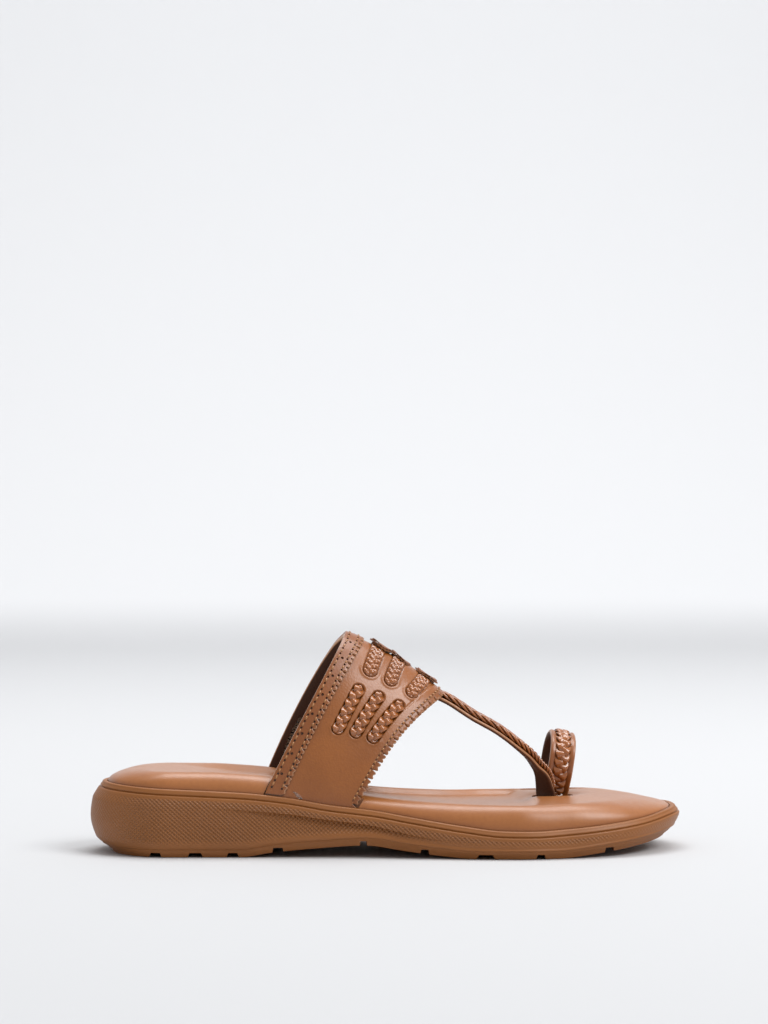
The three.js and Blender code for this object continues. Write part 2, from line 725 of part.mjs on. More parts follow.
// Where a braid's own run, side step and height fall on the band.
function bandPlace(row) {
  return (s, t, high) => {
    const u = mix(row.girth[0], row.girth[1], s);
    const v = mix(row.across[0], row.across[1], s) - 4 * row.bow * s * (1 - s);
    const run = row.across[1] - row.across[0] - 4 * row.bow * (1 - 2 * s);
    const step = sidestep(u, v, [row.girth[1] - row.girth[0], run], t);
    return bandPoint(u + step[0], v + step[1], high);
  };
}
function placeLength(place) {
  let total = 0;
  for (let i = 0; i < 12; i += 1) {
    total += Math.hypot(...plus(place((i + 1) / 12, 0, WALL), place(i / 12, 0, WALL), -1));
  }
  return total;
}

// Half width of a round ended strip at a distance from its nearer end.
const roundEnd = (radius, from) => {
  const left = Math.max(0, 1 - from / radius);
  return radius * Math.sqrt(1 - left * left);
};

// The blind pocket a braid is let into.
function braidPocket(row) {
  const place = bandPlace(row);
  const length = placeLength(place);
  const radius = (PLAIT_WIDTH * row.wide) / 2 + POCKET_ROOM;
  const whole = length + 2 * POCKET_ROOM;
  const ends = [0.25, 1, 2, radius];
  const shares = row.bow > 0 ? [0.15, 0.3, 0.4, 0.5, 0.6, 0.7, 0.85] : [0.25, 0.5, 0.75];
  const inner = shares.map((k) => mix(radius, whole - radius, k));
  const runs = [...ends, ...inner, ...ends.map((k) => whole - k).reverse()];
  return strip(runs.map((run) => {
    const half = roundEnd(radius, Math.min(run, whole - run));
    const s = (run - POCKET_ROOM) / length;
    return [
      place(s, -half, POCKET_FLOOR), place(s, half, POCKET_FLOOR),
      place(s, half, WALL * 2), place(s, -half, WALL * 2),
    ];
  }));
}

// A plait: strands that rise in turn on the left and the right of a lower middle.
function plait(place, length, count, base, rise, width) {
  const steps = 2 * count;
  const sections = [];
  for (let i = 0; i <= steps; i += 1) {
    const run = (i / steps) * length;
    const fromEnd = Math.min(run, length - run);
    const half = Math.min(width / 2, roundEnd(width / 2, fromEnd * 0.75 + 0.3));
    const lean = 0.5 * Math.min(1, fromEnd / PLAIT_PITCH);
    const top = base + rise;
    const high = fromEnd < 0.1 ? mix(base, top, 0.4) : top;
    const low = mix(base, top, 0.45);
    const left = i % 2 === 0 ? low : high;
    const right = i % 2 === 0 ? high : low;
    const at = (t) => (run - Math.abs(t) * lean) / length;
    sections.push([
      place(at(0), -half, base), place(at(0), half, base),
      place(at(half), half, mix(base, top, 0.25)), place(at(half / 2), half * 0.55, right),
      place(at(0), 0, mix(base, top, 0.6)),
      place(at(half / 2), -half * 0.55, left), place(at(half), -half, mix(base, top, 0.25)),
    ]);
  }
  return strip(sections);
}
function makeBraid(row) {
  const place = bandPlace(row);
  const base = POCKET_FLOOR + GAP;
  const rise = WALL + (row.bow > 0 ? CREST_RISE : PLAIT_RISE) - base;
  return plait(place, placeLength(place), row.plaits, base, rise, PLAIT_WIDTH * row.wide);
}

// A pinked leaf of leather over a crest braid, one end lifted.
function makeRosette(row) {
  const frame = bandFrame(0, row.across);
  const seat = bandPoint(0, row.across, WALL + GAP * 1.5);
  const front = unit(frame.alongV);
  const wide = unit(cross(frame.out, front));
  const leaf = (high, size) => Array.from({ length: 20 }, (_, i) => {
    const angle = (i / 20) * 2 * Math.PI;
    const radius = size * (ROSETTE / 2) * (i % 2 === 0 ? 1 : 0.8);
    const ahead = radius * Math.cos(angle);
    const lift = high + (Math.abs(row.tilt) * ROSETTE) / 2 + row.tilt * ahead;
    return plus(plus(plus(seat, front, ahead), wide, radius * Math.sin(angle)), frame.out, lift);
  });
  return shell([leaf(0, 0), leaf(0, 1), leaf(ROSETTE_THICK, 1), leaf(ROSETTE_THICK, 0)]);
}

// Where a flat strap runs: its middle, its width direction and the way its face looks.
function strapFrame(s) {
  const lead = [
    { s: 0.0, v: 0.45, high: -0.75 },
    { s: 0.07, v: 0.62, high: -0.75 },
    { s: 0.17, v: 0.95, high: -3.5 },
  ].map((row) => ({ s: row.s, point: bandPoint(0, row.v, row.high), wide: STRAP_LEAD, twist: 0 }));
  const rows = TOE_STRAP.map((row, i) => ({
    s: 0.24 + (0.76 * i) / (TOE_STRAP.length - 1),
    point: [row.x * LENGTH, row.y * BALL_WIDTH, row.high * INSTEP],
    wide: row.wide,
    twist: row.twist,
  }));
  const table = [...lead, ...rows].map((row) => ({
    at: row.s, x: row.point[0], y: row.point[1], z: row.point[2], wide: row.wide, twist: row.twist,
  }));
  const point = (k) => ['x', 'y', 'z'].map((key) => between(table, key, k));
  const ahead = unit(plus(point(Math.min(1, s + 0.01)), point(Math.max(0, s - 0.01)), -1));
  const twist = (between(table, 'twist', s) * Math.PI) / 180;
  const wide = [Math.sin(twist), -Math.cos(twist), 0];
  return { point: point(s), wide, out: unit(cross(wide, ahead)), size: between(table, 'wide', s) };
}
function ringFrame(s) {
  const last = RING_LOOP.length - 1;
  const rows = RING_LOOP.map((row, i) => ({ at: i / last, across: row.across, high: row.high }));
  const point = (k) => {
    const y = RING_Y + RING_SPAN * between(rows, 'across', k);
    const z = RING_TOP * between(rows, 'high', k);
    return [RING_X + RING_LEAN * (z - RING_FOOT), y, z];
  };
  const ahead = unit(plus(point(Math.min(1, s + 0.01)), point(Math.max(0, s - 0.01)), -1));
  const wide = unit([1, 0, -RING_LEAN]);
  return { point: point(s), wide, out: unit(cross(wide, ahead)), size: 1 };
}
const strapPlace = (frameAt) => (s, t, high) => {
  const frame = frameAt(s);
  return plus(plus(frame.point, frame.wide, t), frame.out, high);
};

// A flat strap with square edges along a path, its outer face raised in a rim on either side.
function strap(frameAt, steps, width, rim, rise) {
  const place = strapPlace(frameAt);
  return strip(Array.from({ length: steps + 1 }, (_, i) => {
    const s = i / steps;
    const half = (width * frameAt(s).size) / 2;
    const high = STRAP_THICK / 2;
    const flat = [place(s, -half, -high), place(s, half, -high)];
    if (rise === 0) return [...flat, place(s, half, high), place(s, -half, high)];
    return [
      ...flat, place(s, half, high + rise), place(s, half - rim, high + rise),
      place(s, half - rim, high), place(s, rim - half, high),
      place(s, rim - half, high + rise), place(s, -half, high + rise),
    ];
  }));
}

// A plait along part of a strap, raised on its outer face.
function strapPlait(frameAt, from, to, width, rise) {
  const whole = strapPlace(frameAt);
  const place = (s, t, high) => whole(mix(from, to, s), t, high);
  const length = placeLength(place);
  const count = Math.round(length / PLAIT_PITCH);
  return plait(place, length, count, STRAP_THICK / 2 + GAP * 1.5, rise, width);
}

// Build the pieces, colour them, and stand them about the middle of the sole.
let sole = solid(makeOutsole());
GROOVES.forEach((row) => {
  sole = sole.subtract(solid(groove(row)));
});
let bed = solid(makeFootbed());
bandPocket().forEach((pocket) => {
  bed = bed.subtract(solid(pocket));
});
bed = bed.subtract(solid(slot(SLOT_X, SLOT_Y, SLOT_LENGTH, SLOT_WIDTH)));
bed = bed.subtract(solid(slot(RING_X, SLIT_Y, SLIT_LENGTH, SLIT_WIDTH)));
let upper = solid(makeBand());
upper = upper.add(solid(strap(strapFrame, 26, STRAP_WIDTH, 0, 0)));
BRAIDS.forEach((row) => {
  upper = upper.subtract(solid(braidPocket(row)));
});

const LEATHER = { color: 0x9d643b, roughness: 0.42, metalness: 0 };
const PIECES = [
  { name: 'outsole', shape: geometryOf(sole), look: { color: 0x8a5a38, roughness: 0.6 } },
  { name: 'footbed', shape: geometryOf(bed), look: { color: 0xa56d46, roughness: 0.35 } },
  { name: 'upper', shape: geometryOf(upper), look: LEATHER },
  { name: 'rear_trim', shape: makeRearTrim(), look: LEATHER },
  { name: 'front_trim', shape: makeFrontTrim(), look: LEATHER },
  { name: 'toe_strap_braid', shape: strapPlait(strapFrame, 0.248, 0.83, STRAP_PLAIT, 1.5), look: LEATHER },
  { name: 'toe_ring', shape: strap(ringFrame, 24, RING_WIDTH, RING_RIM, RING_RIM_RISE), look: LEATHER },
  { name: 'toe_ring_braid', shape: strapPlait(ringFrame, 0.09, 0.91, RING_PLAIT, 1), look: LEATHER },
  ...BRAIDS.map((row) => ({ name: `braid_${row.name}`, shape: makeBraid(row), look: LEATHER })),
  ...ROSETTES.map((row) => ({ name: `rosette_${row.name}`, shape: makeRosette(row), look: LEATHER })),
];

const sandal = new THREE.Group();
sandal.name = 'toe_ring_sandal';
const solePlan = new THREE.Box3().setFromBufferAttribute(PIECES[0].shape.getAttribute('position'));
const middleOfSole = solePlan.getCenter(new THREE.Vector3());
PIECES.forEach((piece) => {
  piece.shape.translate(-middleOfSole.x, -middleOfSole.y, -solePlan.min.z);
  piece.shape.computeVertexNormals();
  const mesh = new THREE.Mesh(piece.shape, new THREE.MeshStandardMaterial(piece.look));
  mesh.name = piece.name;
  sandal.add(mesh);
});

export default sandal;
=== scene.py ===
"""Dress the toe ring sandal: fine leather, plaits and a moulded sole around its fixed frame."""

import logging
import math
from collections.abc import Callable, Sequence
from dataclasses import dataclass, field
from enum import Enum
from typing import ClassVar

import bmesh
import bpy
import numpy as np
from mathutils import Matrix, Vector


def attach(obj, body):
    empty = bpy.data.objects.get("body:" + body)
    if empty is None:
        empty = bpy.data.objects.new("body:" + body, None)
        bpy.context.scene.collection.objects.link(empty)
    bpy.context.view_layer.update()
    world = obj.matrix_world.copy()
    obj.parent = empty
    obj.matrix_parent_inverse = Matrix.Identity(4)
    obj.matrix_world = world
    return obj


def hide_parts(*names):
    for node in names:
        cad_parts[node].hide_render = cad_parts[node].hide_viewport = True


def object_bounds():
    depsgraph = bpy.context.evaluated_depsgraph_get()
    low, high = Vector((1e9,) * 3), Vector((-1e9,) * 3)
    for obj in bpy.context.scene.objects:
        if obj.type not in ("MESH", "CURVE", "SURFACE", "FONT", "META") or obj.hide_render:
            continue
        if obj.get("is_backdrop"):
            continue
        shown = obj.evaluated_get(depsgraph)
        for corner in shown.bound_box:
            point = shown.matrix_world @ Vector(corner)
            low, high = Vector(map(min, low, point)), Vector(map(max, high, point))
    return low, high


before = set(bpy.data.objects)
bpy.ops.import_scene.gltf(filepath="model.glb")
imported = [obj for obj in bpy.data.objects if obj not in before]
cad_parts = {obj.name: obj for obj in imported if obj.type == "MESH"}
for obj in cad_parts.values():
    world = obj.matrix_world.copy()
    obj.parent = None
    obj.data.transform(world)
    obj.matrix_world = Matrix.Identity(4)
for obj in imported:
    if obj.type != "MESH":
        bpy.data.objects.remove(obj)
CAD_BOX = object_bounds()

LOG = logging.getLogger("sandal")
MM = 0.001
BODY = "root"

Field = np.ndarray
Surface = Callable[[Field, Field], Field]


class Slot(Enum):
    """Names of the record's material slots, passed with each new piece but not used to pick its finish."""

    SOLE = "sole_compound"
    FOOTBED = "footbed_leather"
    BAND = "band_leather"
    TRIM = "trim_leather"
    BRAID = "braid_leather"
    RING = "ring_leather"
    ROSETTE = "rosette_leather"


class Side(Enum):
    """The two sides of the shoe, by the sign of their Y."""

    OUTER = -1
    INNER = 1


def smooth(t: Field) -> Field:
    """Ease from 0 to 1 as t goes from 0 to 1, and hold outside."""
    held = np.clip(t, 0.0, 1.0)
    return held * held * (3 - 2 * held)


def mix(a: Field, b: Field, t: Field) -> Field:
    """Go from a to b as t goes from 0 to 1."""
    return a + (b - a) * t


def unit(v: Field) -> Field:
    """Scale each row of v to length one."""
    return v / np.linalg.norm(v, axis=-1, keepdims=True)


def point(x: Field, y: Field, z: Field) -> Field:
    """Put three coordinates side by side as rows of points."""
    return np.stack(np.broadcast_arrays(x, y, z), axis=-1).astype(float)


class Table:
    """A short table of sections with named columns, read on smooth curves."""

    def __init__(self, columns: str, rows: Sequence[Sequence[float]]) -> None:
        """Keep the rows.

        Args:
            columns: The names of the columns, the first of them the one to read along.
            rows: One row of numbers for each section.
        """
        self.values = dict(zip(columns.split(), np.array(rows, float).T))
        self.at = next(iter(self.values.values()))

    def read(self, column: str, at: Field) -> Field:
        """Read one column on a smooth curve that keeps its highs and lows.

        Args:
            column: The name of the column.
            at: Where to read it.

        Returns:
            The column's values there.
        """
        here = np.clip(at, self.at[0], self.at[-1])
        rows = self.values[column]
        rate = np.diff(rows) / np.diff(self.at)
        before, after = rate[:-1], rate[1:]
        level = before * after <= 0
        slope = np.zeros_like(rows)
        slope[1:-1] = np.where(level, 0.0, 2 * before * after / np.where(level, 1.0, before + after))
        k = np.clip(np.searchsorted(self.at, here, side="right") - 1, 0, len(rows) - 2)
        step = self.at[k + 1] - self.at[k]
        t = (here - self.at[k]) / step
        s = 1 - t
        ends = rows[k] * (1 + 2 * t) * s * s + rows[k + 1] * t * t * (3 - 2 * t)
        return ends + step * (slope[k] * t * s * s - slope[k + 1] * t * t * s)


@dataclass
class Sheet:
    """A bmesh grid laid over a surface and closed into one skin.

    Attributes:
        name: The piece's name.
        columns: How many faces lie along u.
        rows: How many faces lie along v.
        place: The surface, from u and v to points in mm.
        chart: The piece's own map, from u and v to mm of surface.
        marks: Named masks for the materials, from u and v.
        zones: The material of a face, from u and v at its middle.
        crease: The angle in degrees past which an edge stays sharp.
        shut: Whether open ends are closed.
    """

    name: str
    columns: int
    rows: int
    place: Surface
    chart: Surface | None = None
    marks: dict[str, Surface] = field(default_factory=dict)
    zones: Surface | None = None
    crease: float = 60.0
    shut: bool = True

    def build(self) -> bpy.types.Object:
        """Lay the grid, close it and link it as an object.

        Returns:
            The piece.
        """
        mesh = bpy.data.meshes.new(self.name)
        body = bmesh.new()
        bmesh.ops.create_grid(body, x_segments=self.columns, y_segments=self.rows, size=0.5)
        body.to_mesh(mesh)
        body.free()
        flat = np.empty(len(mesh.vertices) * 3)
        mesh.vertices.foreach_get("co", flat)
        u, v = flat.reshape(-1, 3)[:, 0] + 0.5, flat.reshape(-1, 3)[:, 1] + 0.5
        if self.zones:
            self._dress_faces(mesh, u, v)
        if self.chart:
            corner = np.empty(len(mesh.loops), np.int32)
            mesh.loops.foreach_get("vertex_index", corner)
            layer = mesh.uv_layers.new(name="leather_mm")
            layer.data.foreach_set("uv", self.chart(u, v)[corner].astype(np.float32).ravel())
        for name, mark in self.marks.items():
            layer = mesh.attributes.new(name, "FLOAT", "POINT")
            layer.data.foreach_set("value", np.broadcast_to(mark(u, v), u.shape).astype(np.float32))
        mesh.vertices.foreach_set("co", (self.place(u, v) * MM).astype(np.float32).ravel())
        piece = bpy.data.objects.new(self.name, mesh)
        bpy.context.scene.collection.objects.link(piece)
        close(piece, self.shut)
        shade(piece, self.crease)
        return piece

    def _dress_faces(self, mesh: bpy.types.Mesh, u: Field, v: Field) -> None:
        """Give each face the material of its zone.

        Args:
            mesh: The flat grid.
            u: Each vertex's share along the columns.
            v: Each vertex's share along the rows.
        """
        corner = np.empty(len(mesh.loops), np.int32)
        mesh.loops.foreach_get("vertex_index", corner)
        quad = corner.reshape(-1, 4)
        zone = self.zones(u[quad].mean(1), v[quad].mean(1)).astype(np.int32)
        mesh.polygons.foreach_set("material_index", zone)


def close(piece: bpy.types.Object, shut: bool = True, gap: float = 0.002) -> None:
    """Merge a piece's doubles, close its open ends and turn its faces outwards.

    Args:
        piece: The piece to close.
        shut: Whether open ends get a face.
        gap: How near in mm two vertices are doubles.
    """
    body = bmesh.new()
    body.from_mesh(piece.data)
    bmesh.ops.remove_doubles(body, verts=body.verts, dist=gap * MM)
    bmesh.ops.dissolve_degenerate(body, dist=gap * MM, edges=body.edges)
    if shut:
        rim = [edge for edge in body.edges if edge.is_boundary]
        bmesh.ops.holes_fill(body, edges=rim, sides=0)
    bmesh.ops.recalc_face_normals(body, faces=body.faces)
    body.to_mesh(piece.data)
    body.free()


def shade(piece: bpy.types.Object, crease: float) -> None:
    """Shade a piece smooth, but for edges sharper than crease degrees."""
    piece.data.shade_smooth()
    piece.data.set_sharp_from_angle(angle=math.radians(crease))


def settle(piece: bpy.types.Object) -> None:
    """Bake a piece's modifiers into its mesh.

    Args:
        piece: The piece.
    """
    graph = bpy.context.evaluated_depsgraph_get()
    graph.update()
    done = bpy.data.meshes.new_from_object(piece.evaluated_get(graph))
    piece.modifiers.clear()
    piece.data = done


def carve(piece: bpy.types.Object, cutters: Sequence[bpy.types.Object], crease: float = 40.0) -> None:
    """Cut closed cutters out of a piece, and delete the cutters.

    Args:
        piece: The piece to cut.
        cutters: The closed solids to take away.
        crease: The angle in degrees past which an edge stays sharp.
    """
    tool = join(cutters[0].name, list(cutters))
    cut = piece.modifiers.new("cut", "BOOLEAN")
    cut.operation = "DIFFERENCE"
    cut.solver = "MANIFOLD"
    cut.object = tool
    settle(piece)
    bpy.data.objects.remove(tool)
    shade(piece, crease)


def join(name: str, pieces: list[bpy.types.Object]) -> bpy.types.Object:
    """Join pieces into the first of them.

    Args:
        name: The name of the joined piece.
        pieces: The pieces, each at the origin.

    Returns:
        The joined piece.
    """
    first = pieces[0]
    if len(pieces) > 1:
        with bpy.context.temp_override(active_object=first, object=first, selected_editable_objects=pieces):
            bpy.ops.object.join()
    first.name = name
    first.data.name = name
    return first


def fit(
    piece: bpy.types.Object,
    finishes: Sequence[bpy.types.Material],
    slot: Slot,
    nodes: Sequence[str],
) -> bpy.types.Object:
    """Dress a piece, ride it on the shoe and stand it in for its nodes.

    Args:
        piece: The piece.
        finishes: Its materials, in the order of its zones.
        slot: The record's slot for the piece; not used.
        nodes: The frame's nodes it stands for.

    Returns:
        The piece.
    """
    zones = np.zeros(len(piece.data.polygons), np.int32)
    piece.data.polygons.foreach_get("material_index", zones)
    piece.data.materials.clear()
    for finish in finishes:
        piece.data.materials.append(finish)
    piece.data.polygons.foreach_set("material_index", zones)
    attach(piece, BODY)
    if nodes:
        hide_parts(*nodes)
    LOG.info("%s: %d faces for %s", piece.name, len(piece.data.polygons), ", ".join(nodes) or "nothing")
    return piece


OUTLINE = Table("at centre half", [
    (0.0, 0.0, 0.335), (0.15, -0.005, 0.342), (0.3, -0.02, 0.345), (0.42, -0.03, 0.355),
    (0.55, -0.02, 0.42), (0.66, -0.002, 0.487), (0.72, 0.0, 0.5), (0.8, 0.015, 0.482),
    (0.9, 0.045, 0.46), (1.0, 0.07, 0.42),
])
RIM = Table("at high", [
    (0.0, 1.0), (0.03, 0.985), (0.126, 0.941), (0.194, 0.914), (0.262, 0.882), (0.33, 0.819),
    (0.396, 0.724), (0.48, 0.638), (0.519, 0.58), (0.616, 0.45), (0.685, 0.385), (0.735, 0.38),
    (0.787, 0.401), (0.856, 0.447), (0.922, 0.507), (1.0, 0.6),
])
UNDERSIDE = Table("at arch spring", [
    (0.0, 0.0, 0.0), (0.25, 0.0, 0.0), (0.3, 0.36, 0.0), (0.36, 0.68, 0.0), (0.46, 1.0, 0.0),
    (0.52, 0.6, 0.0), (0.585, 0.2, 0.0), (0.64, 0.0, 0.0), (0.77, 0.0, 0.0), (0.85, 0.0, 0.3),
    (0.92, 0.0, 0.62), (1.0, 0.0, 1.0),
])
SOLE_WALL = Table("at heel side toe", [
    (0.0, 1.0, 0.3, 0.9), (0.06, 0.8, 0.2, 0.68), (0.14, 0.51, 0.14, 0.5), (0.22, 0.26, 0.07, 0.38),
    (0.5, 0.0, 0.0, 0.1), (0.74, 0.08, 0.02, 0.0), (0.86, 0.26, 0.06, 0.08),
    (0.94, 0.42, 0.11, 0.18), (1.0, 0.55, 0.15, 0.26),
])
ARCH_LINE = Table("at line deep", [
    (0.0, 0.74, 0.0), (0.2, 0.73, 0.0), (0.296, 0.69, 0.55), (0.36, 0.66, 0.9), (0.43, 0.6, 1.0),
    (0.5, 0.52, 0.8), (0.545, 0.47, 0.4), (0.6, 0.46, 0.0), (1.0, 0.5, 0.0),
])
REST = Table("at high", [
    (0.0, 1.0), (0.2, 0.992), (0.26, 0.969), (0.3, 0.943), (0.38, 0.83), (0.454, 0.72),
    (0.518, 0.671), (0.57, 0.643), (0.65, 0.618), (0.72, 0.612), (0.85, 0.626), (0.92, 0.615),
    (1.0, 0.6),
])
GROOVES = Table("at wide", [
    (-0.3881, 0.0198), (-0.3225, 0.0249), (-0.2608, 0.0198), (-0.1865, 0.0198), (-0.0458, 0.0138),
    (0.0542, 0.0158), (0.1530, 0.0296), (0.2435, 0.0158), (0.3605, 0.0178),
])


@dataclass(frozen=True)
class Last:
    """The form that the sole, the footbed and the band are built on, in mm."""

    length: float = 253.0
    ball_width: float = 92.0
    heel_rim: float = 30.4
    bulge: float = 10.0
    arch_rise: float = 5.0
    toe_spring: float = 6.2
    foot_rest: float = 35.3
    heel_round: float = 0.13
    toe_round: float = 0.2
    toe_power: float = 2.3
    rim_lip: float = 1.6
    tray: float = 5.0
    gap: float = 0.3
    heel_spine: float = 31.0
    toe_spine: float = 36.0

    def share(self, x: Field) -> Field:
        """Say how far along the shoe x lies."""
        return x / self.length + 0.5

    def rim_height(self, x: Field) -> Field:
        """Give the height of the sole's rim at x."""
        return self.heel_rim * RIM.read("high", self.share(x))

    def rest_height(self, x: Field) -> Field:
        """Give the height of the footbed's shoulder at x."""
        return self.foot_rest * REST.read("high", self.share(x))

    def under_height(self, x: Field) -> Field:
        """Give the height of the sole's underside at x."""
        arch = self.arch_rise * UNDERSIDE.read("arch", self.share(x))
        return arch + self.toe_spring * UNDERSIDE.read("spring", self.share(x))

    def centre_y(self, x: Field) -> Field:
        """Give the middle line's y at x."""
        return self.ball_width * OUTLINE.read("centre", self.share(x))

    def side_y(self, x: Field, side: float) -> Field:
        """Give the y of the sole's widest line at x, on one side."""
        at = self.share(x)
        return self.ball_width * (OUTLINE.read("centre", at) + side * OUTLINE.read("half", at))

    def outline(self, turn: Field) -> tuple[Field, Field]:
        """Follow the sole's widest line from the heel tip along the outer side.

        Args:
            turn: The turn round the outline, in radians.

        Returns:
            x and y in mm.
        """
        turn = np.mod(turn, 2 * np.pi)
        at = (1 - np.cos(turn)) / 2
        side = np.where((turn > 0) & (turn < np.pi), -1.0, 1.0)
        heel = np.maximum(0, (self.heel_round - at) / self.heel_round)
        toe = np.maximum(0, (at - 1 + self.toe_round) / self.toe_round)
        toe_curve = np.maximum(0, 1 - toe**self.toe_power) ** (1 / self.toe_power)
        half = OUTLINE.read("half", at) * np.sqrt(np.maximum(0, 1 - heel * heel)) * toe_curve
        return self.length * (at - 0.5), self.ball_width * (OUTLINE.read("centre", at) + side * half)

    def outward(self, turn: Field) -> tuple[Field, Field]:
        """Give the direction out of the widest line.

        Args:
            turn: The turn round the outline, in radians.

        Returns:
            x and y of the direction.
        """
        step = 0.02
        before, after = self.outline(turn - step), self.outline(turn + step)
        run_x, run_y = after[0] - before[0], after[1] - before[1]
        size = np.hypot(run_x, run_y)
        return run_y / size, -run_x / size

    def faces(self, turn: Field) -> tuple[Field, Field]:
        """Weigh how far the wall faces back at the heel and forward at the toe."""
        ahead = self.outward(turn)[0]
        return np.maximum(0, -ahead) ** 1.5, np.maximum(0, ahead) ** 1.5

    def wall_inset(self, turn: Field, at: Field) -> Field:
        """Say how far the wall stands in, at a share of its height.

        Args:
            turn: The turn round the outline, in radians.
            at: The share of the wall's height.

        Returns:
            How far in, in mm.
        """
        heel, toe = self.faces(turn)
        side = SOLE_WALL.read("side", at)
        back = SOLE_WALL.read("heel", at) - side
        front = SOLE_WALL.read("toe", at) - side
        return self.bulge * (side + back * heel + front * toe)

    def inset(self, turn: Field, depth: Field) -> tuple[Field, Field]:
        """Give x and y of a point set in from the widest line.

        Args:
            turn: The turn round the outline, in radians.
            depth: How far in, in mm.

        Returns:
            x and y in mm.
        """
        x, y = self.outline(turn)
        out_x, out_y = self.outward(turn)
        return x - out_x * depth, y - out_y * depth

    def spine(self, turn: Field) -> tuple[Field, Field]:
        """Give x and y on the middle line that a ring closes on.

        Args:
            turn: The turn round the outline, in radians.

        Returns:
            x and y in mm.
        """
        low, high = -self.length / 2 + self.heel_spine, self.length / 2 - self.toe_spine
        x = np.clip(self.outline(turn)[0], low, high)
        return x, self.centre_y(x)

    def perimeter(self, turn: Field) -> Field:
        """Give the length in mm along the widest line up to a turn.

        Args:
            turn: The turn round the outline, in radians.

        Returns:
            The length.
        """
        turns = np.linspace(0, 2 * np.pi, 721)
        x, y = self.outline(turns)
        run = np.concatenate([[0.0], np.cumsum(np.hypot(np.diff(x), np.diff(y)))])
        return np.interp(turn, turns, run)


def in_legs(v: Field, rows: Sequence[int]) -> tuple[Field, Field]:
    """Find which leg of a profile each share falls on.

    Args:
        v: Shares along the whole profile.
        rows: How many grid rows each leg has.

    Returns:
        The number of the leg, and the share along it.
    """
    ends = np.concatenate([[0], np.cumsum(rows)]) / sum(rows)
    leg = np.clip(np.searchsorted(ends, v + 1e-9, side="right") - 1, 0, len(rows) - 1)
    return leg, np.clip((v - ends[leg]) / (ends[leg + 1] - ends[leg]), 0, 1)


def hex_colour(code: str) -> tuple[float, float, float, float]:
    """Turn an sRGB hex colour to linear.

    Args:
        code: The colour, as # and six digits.

    Returns:
        Red, green, blue and an alpha of 1.
    """
    parts = [int(code[i:i + 2], 16) / 255 for i in (1, 3, 5)]
    linear = [p / 12.92 if p <= 0.04045 else ((p + 0.055) / 1.055) ** 2.4 for p in parts]
    return (*linear, 1.0)


def add_node(
    material: bpy.types.Material,
    kind: str,
    settings: dict[str, object] | None = None,
    links: dict[str, bpy.types.NodeSocket] | None = None,
) -> bpy.types.Node:
    """Add one node to a material.

    Args:
        material: The material it goes in.
        kind: The node's type, without its leading ShaderNode.
        settings: Values for its properties or, by socket name or number, its inputs.
        links: Outputs to link, by the name or number of the input they go to.

    Returns:
        The node.
    """
    node = material.node_tree.nodes.new("ShaderNode" + kind)
    for name, value in (settings or {}).items():
        if isinstance(name, str) and hasattr(node, name):
            setattr(node, name, value)
        else:
            node.inputs[name].default_value = value
    for name, output in (links or {}).items():
        material.node_tree.links.new(output, node.inputs[name])
    return node


def empty_material(name: str) -> bpy.types.Material:
    """Start a material with no nodes.

    Args:
        name: Its name.

    Returns:
        The material.
    """
    material = bpy.data.materials.new(name)
    material.use_nodes = True
    material.node_tree.nodes.clear()
    return material


